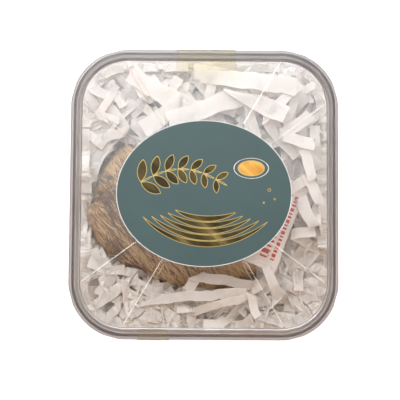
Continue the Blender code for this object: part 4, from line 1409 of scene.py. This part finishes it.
def crumpled(points, number):
    """A strip's points, softly lifted and shifted, under the lid and inside the tray."""
    x, y = points[:, 0], points[:, 1]
    lift = 1.3 * MM * lattice_noise(x / 0.012, y / 0.012, 100 + number)
    lift += 0.55 * MM * lattice_noise(x / 0.005, y / 0.005, 140 + number)
    lift += 0.22 * MM * lattice_noise(x / 0.0022, y / 0.0022, 180 + number)
    shifts = []
    for along, seed in ((y, 61), (x, 62)):
        wide = 1.1 * MM * lattice_noise(along / 0.011, number, seed)
        shifts.append(wide + 0.4 * MM * lattice_noise(along / 0.004, number, seed + 2))
    highest = LID_TOP - PANEL_DROP - PACKED_WALL - 1.0 * MM
    height = np.minimum(points[:, 2] + lift, highest)
    return inside_tray(np.column_stack((x + shifts[0], y + shifts[1], height)), 0.3 * MM)


def make_strip(number, node, finish):
    """One strip on the bed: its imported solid, thinner, bent more smoothly and softly crumpled."""
    strip = new_piece(node.name + "_soft", strip_mesh(node))
    finer = strip.modifiers.new("finer", "SUBSURF")
    finer.levels = finer.render_levels = 2
    mesh = applied(strip).data
    mesh.materials.clear()
    mesh.materials.append(finish)
    points = read_points(mesh) - read_points(mesh, "normal") * STRIP_THINNING
    points = crumpled(points, number)
    mesh.vertices.foreach_set("co", points.ravel())
    set_values(mesh, "tone", np.full(len(points), (number * 0.37) % 1.0))
    mesh.shade_smooth()
    mesh.set_sharp_from_angle(angle=math.radians(50))
    return strip


def paper_finish(name, low_tone):
    """Matt white paper: each shred has its own tint, with faint fibres and creases."""
    paper = bpy.context.scene.nest_paper.paper
    finish, tree, shader = new_finish(name, 0.75, Subsurface_Weight=0.5, Subsurface_Scale=0.002)
    shader.inputs["Subsurface Radius"].default_value = (1.0, 1.0, 1.0)
    place = object_place(tree)
    tone = point_value(tree, "tone")
    base = mixed(tree, tone, scaled(paper, (0.98, 0.95, 0.91)), tuple(paper))
    cloud, height = mottle(tree, place, 120.0, low_tone, 1.0, fine=9.0)
    colour = mixed(tree, cloud, scaled(paper, 0.96), base)
    tree.links.new(colour, shader.inputs["Base Color"])
    tree.links.new(range_of(tree, cloud, 0.0, 1.0, 0.85, 0.65), shader.inputs["Roughness"])
    tree.links.new(bump(tree, height, 0.00025, 0.6), shader.inputs["Normal"])
    return finish


def sachet_points(side, along, across):
    """One face of the sachet about its own middle: flat crimped ends, full and creased between them."""
    from_end = (1 - np.abs(along)) * SACHET_LENGTH / 2
    filled = smooth_step(SACHET_CRIMP * 0.9, 3.6 * SACHET_CRIMP, from_end)
    fullness = (1 - np.abs(across) ** 2.2) * filled
    height = SACHET_SEAL / 2 + SACHET_BULGE / 2 * fullness
    crease = lattice_noise(along * 2.5, across * 9, 31) * 0.30
    crease = crease + lattice_noise(along * 7, across * 5, 32) * 0.22
    crease = crease + 0.16 * lattice_noise(along * 16, across * 13, 33)
    loose = smooth_step(0.0, 0.5, fullness + 0.12) * smooth_step(0, 0.1, 1 - np.abs(across))
    height = height + crease * 0.55 * MM * loose
    crimp = 1 - smooth_step(SACHET_CRIMP * 0.75, SACHET_CRIMP * 0.95, from_end)
    height = height * (1 - 0.35 * crimp)
    ridges = 0.13 * MM * np.sin(2 * math.pi * from_end / (1.0 * MM)) * crimp
    pinch = 1 - 0.05 * filled
    x = along * SACHET_LENGTH / 2
    y = across * SACHET_WIDTH / 2 * pinch
    return np.stack((x, y, side * height + ridges), -1)


def make_sachet(finish):
    """The packet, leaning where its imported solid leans."""
    rows, columns = 150, 90
    along = np.linspace(-1, 1, rows)[:, None] + np.zeros((1, columns))
    across = np.linspace(-1, 1, columns)[None, :] + np.zeros((rows, 1))
    upper = sachet_points(1, along, across)
    lower = sachet_points(-1, along, across)
    low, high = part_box("desiccant_sachet")
    middle = Vector((*SACHET_CENTRE, (low.z + high.z) / 2))
    turn = Matrix.Rotation(SACHET_ANGLE, 3, "Z") @ Matrix.Rotation(SACHET_TILT, 3, "X")
    both = np.concatenate((upper.reshape(-1, 3), lower.reshape(-1, 3)))
    placed = both @ np.array(turn).T + np.array(middle)
    faces = grid_faces(rows, columns)
    count = rows * columns
    faces += [[count + corner for corner in reversed(face)] for face in grid_faces(rows, columns)]
    border = list(range(columns)) + [i * columns + columns - 1 for i in range(1, rows)]
    border += [(rows - 1) * columns + j for j in reversed(range(columns - 1))]
    border += [i * columns for i in reversed(range(1, rows - 1))]
    for a, b in zip(border, border[1:] + border[:1]):
        faces.append((a, b, count + b, count + a))
    mesh = new_mesh("sachet_packet", placed, faces)
    outward(mesh)
    in_mm = both / MM
    marks = print_distance(in_mm[:, 0], in_mm[:, 1])
    marks[count:] = 3.0
    set_values(mesh, "print", marks)
    return new_piece("sachet_packet", mesh, finish, 60)


# The sachet's rows of bars in millimetres: middle, half-height, gap and lengths in turn
PRINT_ROWS = (
    (-6.6, 2.2, 2.2, (1.1, 2.6, 1.1, 1.8)),
    (-12.0, 1.15, 1.5, (0.9, 2.0, 1.3)),
    (2.5, 1.15, 1.5, (2.0, 0.9)),
)


def print_distance(x, y):
    """The sachet's plain print: rows of short bars and dots. Millimetres, below 0 inside a mark."""
    shapes = []
    for middle, half, gap, lengths in PRINT_ROWS:
        place, number = -20.0, 0
        while place < 18.0:
            length = lengths[number % len(lengths)]
            across = np.abs(y - middle) - half
            along = np.abs(x - place - length / 2) - length / 2
            shapes.append(np.maximum(across, along))
            place += length + gap * 0.6
            number += 1
    for step in range(14):
        shapes.append(np.hypot(x + 18.5 - 2.8 * step, y + 9.2) - 0.4)
    return np.clip(np.minimum.reduce(shapes), -3, 3)


def packet_finish():
    """White packet paper with a faint sheen, and its red print."""
    settings = bpy.context.scene.nest_paper
    finish, tree, shader = new_finish("packet_paper", 0.55, Coat_Weight=0.1, Coat_Roughness=0.3)
    place = object_place(tree)
    cloud, height = mottle(tree, place, 150.0, fine=8.0)
    white = scaled(settings.paper, 0.98)
    base = mixed(tree, cloud, scaled(white, 0.93), white)
    marks = point_value(tree, "print")
    inked = range_of(tree, marks, 0.1, -0.1)
    wear_shade_and_gloss = mixed(tree, cloud, settings.print_red, scaled(settings.print_red, 1.15))
    tree.links.new(mixed(tree, inked, base, wear_shade_and_gloss), shader.inputs["Base Color"])
    tree.links.new(range_of(tree, cloud, 0.0, 1.0, 0.62, 0.48), shader.inputs["Roughness"])
    tree.links.new(bump(tree, height, 0.0002, 0.5), shader.inputs["Normal"])
    return finish


def tape_section(settings):
    """The tape's section over the rim and down the wall, as insets and heights."""
    lift = GAP + TAPE_THICKNESS / 2
    low = settings["end_height"]
    over = LID_TOP + lift
    section = []
    if settings["reach_in"] > PANEL_INSET:
        section.append((settings["reach_in"], LID_TOP - PANEL_DROP + lift))
        section.append((PANEL_INSET + 1.5 * MM, LID_TOP - PANEL_DROP / 2 + lift))
        section.append((PANEL_INSET - 0.5 * MM, over))
    else:
        section.append((CROWN_INSET + 0.8 * MM, over))
    section.append((CROWN_INSET - lift / 2, over))
    section.append((SKIRT_DRAFT + 0.8 * MM, LID_TOP - LEDGE_DROP + lift))
    section.append((SKIRT_DRAFT - 0.3 * MM, LID_TOP - LEDGE_DROP - 0.7 * MM))
    section.append((-lift, LID_TOP - SKIRT_HEIGHT))
    section.append((tray_inset(low + 5 * MM) - 1.2 * lift, low + 5 * MM))
    section.append((tray_inset(low) - 1.2 * lift, low))
    return section


def dense_section(section, spacing):
    """A profile with points added so that they are about a spacing apart."""
    dense = []
    for first, second in zip(section, section[1:]):
        steps = max(1, int((second - first).length / spacing))
        dense += [first.lerp(second, step / steps) for step in range(steps)]
    return [*dense, section[-1]]


def make_tape(name, side, settings, finish):
    """A strip of clear tape over the rim, slightly wavy; side is 1 at the far edge and -1 at the near one."""
    dense = dense_section(rounded_section(tape_section(settings), 0.8 * MM, 4), 1.0 * MM)
    half = settings["width"] / 2
    columns = int(settings["width"] / (0.8 * MM))
    rows = []
    for i, point in enumerate(dense):
        row = []
        for step in range(columns + 1):
            x = settings["middle"] - half + 2 * half * step / columns
            slack = 0.10 * MM * float(lattice_noise(x / (3 * MM), i / 4.0, 51))
            out = min(slack, 0.0) - 0.08 * MM
            row.append((x, side * (BOX_DEPTH / 2 - point.x + out), point.y + out))
        rows.append(row)
    tape = new_piece(name, new_mesh(name, rows, grid_faces(len(rows), columns + 1)), finish, 60)
    outward_up(tape.data, side)
    sheet = tape.modifiers.new("thickness", "SOLIDIFY")
    sheet.thickness = TAPE_FILM
    sheet.offset = 0
    return applied(tape)


def outward_up(mesh, side):
    """Turns an open sheet so that its faces look up and away from the box."""
    total = sum((face.normal * face.area for face in mesh.polygons), Vector())
    if total.dot(Vector((0, side, 1))) < 0:
        mesh.flip_normals()


def tape_finish():
    """Clear tape: faintly yellow, hazy, with small trapped bubbles."""
    finish, tree, shader = new_finish("clear_tape", 0.18, Transmission_Weight=1.0, IOR=1.12)
    place = object_place(tree)
    cells = add_node(tree, "ShaderNodeTexVoronoi", {"Vector": place, "Scale": 420.0}).outputs["Distance"]
    bubble = range_of(tree, cells, 0.32, 0.22)
    cloud, height = mottle(tree, place, 160.0)
    gate = range_of(tree, cloud, 0.55, 0.75)
    bubbles = add_node(tree, "ShaderNodeMath", {0: bubble, 1: gate}, operation="MULTIPLY").outputs[0]
    colour = mixed(tree, bubbles, (0.97, 0.955, 0.88), (0.99, 0.99, 0.97))
    tree.links.new(colour, shader.inputs["Base Color"])
    tree.links.new(range_of(tree, bubbles, 0.0, 1.0, 0.12, 0.6), shader.inputs["Roughness"])
    tree.links.new(bump(tree, height, 0.0003), shader.inputs["Normal"])
    let_light_through(finish, (0.97, 0.95, 0.88))
    return finish


def floor_finish():
    """A plain white floor, clear from below; the light that it sends back up is softer and warmer."""
    finish, tree, shader = new_finish("stage_floor", 0.9)
    direct = add_node(tree, "ShaderNodeLightPath").outputs["Is Camera Ray"]
    share, _ = mottle(tree, object_place(tree), 4.0)
    plain = mixed(tree, share, (0.49, 0.45, 0.43), (0.51, 0.47, 0.45))
    tree.links.new(mixed(tree, direct, plain, (0.9, 0.9, 0.9)), shader.inputs["Base Color"])
    tree.links.new(mixed(tree, direct, (0.2, 0.2, 0.2), (0.7, 0.7, 0.7)), shader.inputs["Emission Color"])
    shader.inputs["Emission Strength"].default_value = 1.0
    underneath = add_node(tree, "ShaderNodeNewGeometry").outputs["Backfacing"]
    tree.links.new(range_of(tree, underneath, 0.0, 1.0, 1.0, 0.0), shader.inputs["Alpha"])
    return finish


# The surround: colours by height, from the horizon to straight up
SKY = (
    (0.0, (0.72, 0.64, 0.65)),
    (0.25, (0.55, 0.465, 0.435)),
    (0.6, (0.23, 0.197, 0.175)),
    (1.0, (0.19, 0.163, 0.147)),
)

# Two soft round patches in it: the way to the middle, outer and inner angle, and colour
OVERHEAD_PATCH = ((-0.02, math.sin(math.radians(14)), math.cos(math.radians(14))), 15, 5, (2.7, 2.85, 3.0))
WINDOW_PATCH = ((-0.1, math.cos(math.radians(30)), math.sin(math.radians(30))), 42, 12, (1.35, 1.40, 1.50))


def make_world():
    """A soft surround: dim and warm, with a cool window on the far side and a bright patch overhead."""
    world = bpy.data.worlds.new("studio")
    world.use_nodes = True
    bpy.context.scene.world = world
    tree = world.node_tree
    way = add_node(tree, "ShaderNodeTexCoord").outputs["Generated"]
    height = add_node(tree, "ShaderNodeSeparateXYZ", {"Vector": way}).outputs["Z"]
    colour = ramp(tree, height, SKY)
    for middle, outer, inner, light in (WINDOW_PATCH, OVERHEAD_PATCH):
        inputs = {0: way, 1: Vector(middle).normalized()}
        facing = add_node(tree, "ShaderNodeVectorMath", inputs, operation="DOT_PRODUCT").outputs["Value"]
        share = range_of(tree, facing, math.cos(math.radians(outer)), math.cos(math.radians(inner)))
        colour = mixed(tree, share, colour, light)
    background = tree.nodes["Background"]
    tree.links.new(colour, background.inputs["Color"])
    background.inputs["Strength"].default_value = 1.0


def add_softbox(name, place, size, power, colour):
    """A square area light that faces the box."""
    light = bpy.data.lights.new(name, "AREA")
    light.energy = power
    light.size = size
    light.color = colour
    lamp = bpy.data.objects.new(name, light)
    bpy.context.scene.collection.objects.link(lamp)
    lamp.location = place
    lamp.rotation_euler = (-Vector(place)).to_track_quat("-Z", "Y").to_euler()


def make_camera():
    """The photograph's view: nearly straight down, from a little in front."""
    stage = bpy.context.scene.nest_stage
    data = bpy.data.cameras.new("camera")
    data.sensor_fit = "HORIZONTAL"
    data.angle = 2 * math.atan(FRAME_WIDTH / 2 / stage.distance)
    data.shift_x, data.shift_y = FRAME_SHIFT
    data.clip_start = 0.01
    camera = bpy.data.objects.new("camera", data)
    bpy.context.scene.collection.objects.link(camera)
    target = Vector((0, 0, LID_TOP))
    away = Vector((0, -math.cos(stage.elevation), math.sin(stage.elevation)))
    camera.location = target + away * stage.distance
    look = (-away).to_track_quat("-Z", "Y").to_matrix() @ Matrix.Rotation(stage.roll, 3, "Z")
    camera.rotation_euler = look.to_euler()
    bpy.context.scene.camera = camera


SOFTBOXES = (
    ("window_light", (-0.12, 0.40, 0.36), 0.4, 1.0, (0.95, 0.97, 0.98)),
    ("far_left_light", (-0.68, 0.55, 1.0), 0.7, 4.4, (1.0, 0.95, 0.91)),
    ("far_right_light", (0.70, 0.55, 1.0), 0.7, 3.0, (1.0, 0.95, 0.91)),
    ("near_left_light", (-0.75, -0.2, 1.0), 0.6, 1.6, (1.0, 0.78, 0.62)),
    ("near_right_light", (0.75, -0.2, 1.0), 0.6, 1.8, (1.0, 0.78, 0.62)),
    ("front_fill", (0.06, -0.40, 0.30), 0.4, 0.42, (1.0, 0.64, 0.44)),
)


class StageOperator(bpy.types.Operator):
    """Make the floor, the light and the camera."""

    bl_idname = "nestbox.stage"
    bl_label = "Stage"

    def execute(self, context):
        half, low = 2.0, -0.05 * MM
        corners = [(-half, -half, low), (half, -half, low), (half, half, low), (-half, half, low)]
        floor = new_piece("stage_floor", new_mesh("stage_floor", corners, [(0, 1, 2, 3)]), floor_finish())
        make_world()
        for name, place, size, power, colour in SOFTBOXES:
            add_softbox(name, place, size, power, colour)
        make_camera()
        context.scene.view_settings.view_transform = "Standard"
        return {"FINISHED"}


class BoxOperator(bpy.types.Operator):
    """Make the clear tray and its ribbed lid."""

    bl_idname = "nestbox.box"
    bl_label = "Tray and lid"

    def execute(self, context):
        finish = plastic_finish()
        settle(make_tray(finish), "clear_plastic", "box_tray")
        settle(make_lid(finish), "clear_plastic", "lid")
        return {"FINISHED"}


class LabelOperator(bpy.types.Operator):
    """Make the oval label on the lid."""

    bl_idname = "nestbox.label"
    bl_label = "Label"

    def execute(self, context):
        settle(make_label(label_finish()), "label_foil", "label")
        return {"FINISHED"}


class NestOperator(bpy.types.Operator):
    """Make the half-cup nest with its strands, tangled fibres and feather barbs."""

    bl_idname = "nestbox.nest"
    bl_label = "Nest"

    def execute(self, context):
        finish = nest_finish()
        nest = make_nest(finish)
        tint_nest(nest.data)
        settle(nest, "nest_fibre", "nest")
        settle(make_strands(finish), "nest_fibre")
        settle(make_tangle(finish), "nest_fibre")
        settle(make_barbs(barb_finish()), "nest_fibre")
        return {"FINISHED"}


class PaperOperator(bpy.types.Operator):
    """Make the bed of shredded paper and the strips that lie on it."""

    bl_idname = "nestbox.paper"
    bl_label = "Shredded paper"

    def execute(self, context):
        settle(make_shreds(paper_finish("shred_paper", 0.0)), "white_paper", "paper_bed")
        finish = paper_finish("strip_paper", 0.3)
        names = sorted(name for name in frame["nodes"] if name.startswith("paper_strip"))
        for number, name in enumerate(names):
            settle(make_strip(number, frame["nodes"][name], finish), "white_paper", name)
        return {"FINISHED"}


class SachetOperator(bpy.types.Operator):
    """Make the desiccant sachet with its crimped ends and plain red print."""

    bl_idname = "nestbox.sachet"
    bl_label = "Sachet"

    def execute(self, context):
        settle(make_sachet(packet_finish()), "packet_paper", "desiccant_sachet")
        return {"FINISHED"}


class TapeOperator(bpy.types.Operator):
    """Make the two strips of clear seal tape over the rim."""

    bl_idname = "nestbox.tapes"
    bl_label = "Seal tapes"

    def execute(self, context):
        finish = tape_finish()
        settle(make_tape("tape_back", 1, BACK_TAPE, finish), "clear_tape", "seal_tape_back")
        settle(make_tape("tape_front", -1, FRONT_TAPE, finish), "clear_tape", "seal_tape_front")
        return {"FINISHED"}


class NestPanel(bpy.types.Panel):
    """The pieces and their settings, in the sidebar."""

    bl_idname = "VIEW3D_PT_nestbox"
    bl_label = "Boxed nest"
    bl_space_type = "VIEW_3D"
    bl_region_type = "UI"
    bl_category = "Boxed nest"

    def draw(self, context):
        for operator in OPERATORS:
            self.layout.operator(operator.bl_idname)
        for key, group in SETTINGS.items():
            box = self.layout.box()
            for name in group.__annotations__:
                box.prop(getattr(context.scene, key), name)


SETTINGS = {
    "nest_box": BoxSettings,
    "nest_form": NestSettings,
    "nest_paper": PaperSettings,
    "nest_label": LabelSettings,
    "nest_stage": StageSettings,
}
OPERATORS = (
    StageOperator,
    BoxOperator,
    LabelOperator,
    NestOperator,
    PaperOperator,
    SachetOperator,
    TapeOperator,
)


def register():
    """Adds the settings, the operators and the panel."""
    for group in SETTINGS.values():
        bpy.utils.register_class(group)
    for key, group in SETTINGS.items():
        setattr(bpy.types.Scene, key, PointerProperty(type=group))
    for operator in OPERATORS:
        bpy.utils.register_class(operator)
    bpy.utils.register_class(NestPanel)


def unregister():
    """Takes them away again, in the opposite order."""
    bpy.utils.unregister_class(NestPanel)
    for operator in reversed(OPERATORS):
        bpy.utils.unregister_class(operator)
    for key, group in SETTINGS.items():
        delattr(bpy.types.Scene, key)
        bpy.utils.unregister_class(group)


def main():
    """Makes every piece by its operator."""
    register()
    for item in list(bpy.data.objects):
        if item.type in ("LIGHT", "CAMERA"):
            bpy.data.objects.remove(item)
    for operator in OPERATORS:
        family, name = operator.bl_idname.split(".")
        getattr(getattr(bpy.ops, family), name)()


if __name__ == "__main__":
    main()
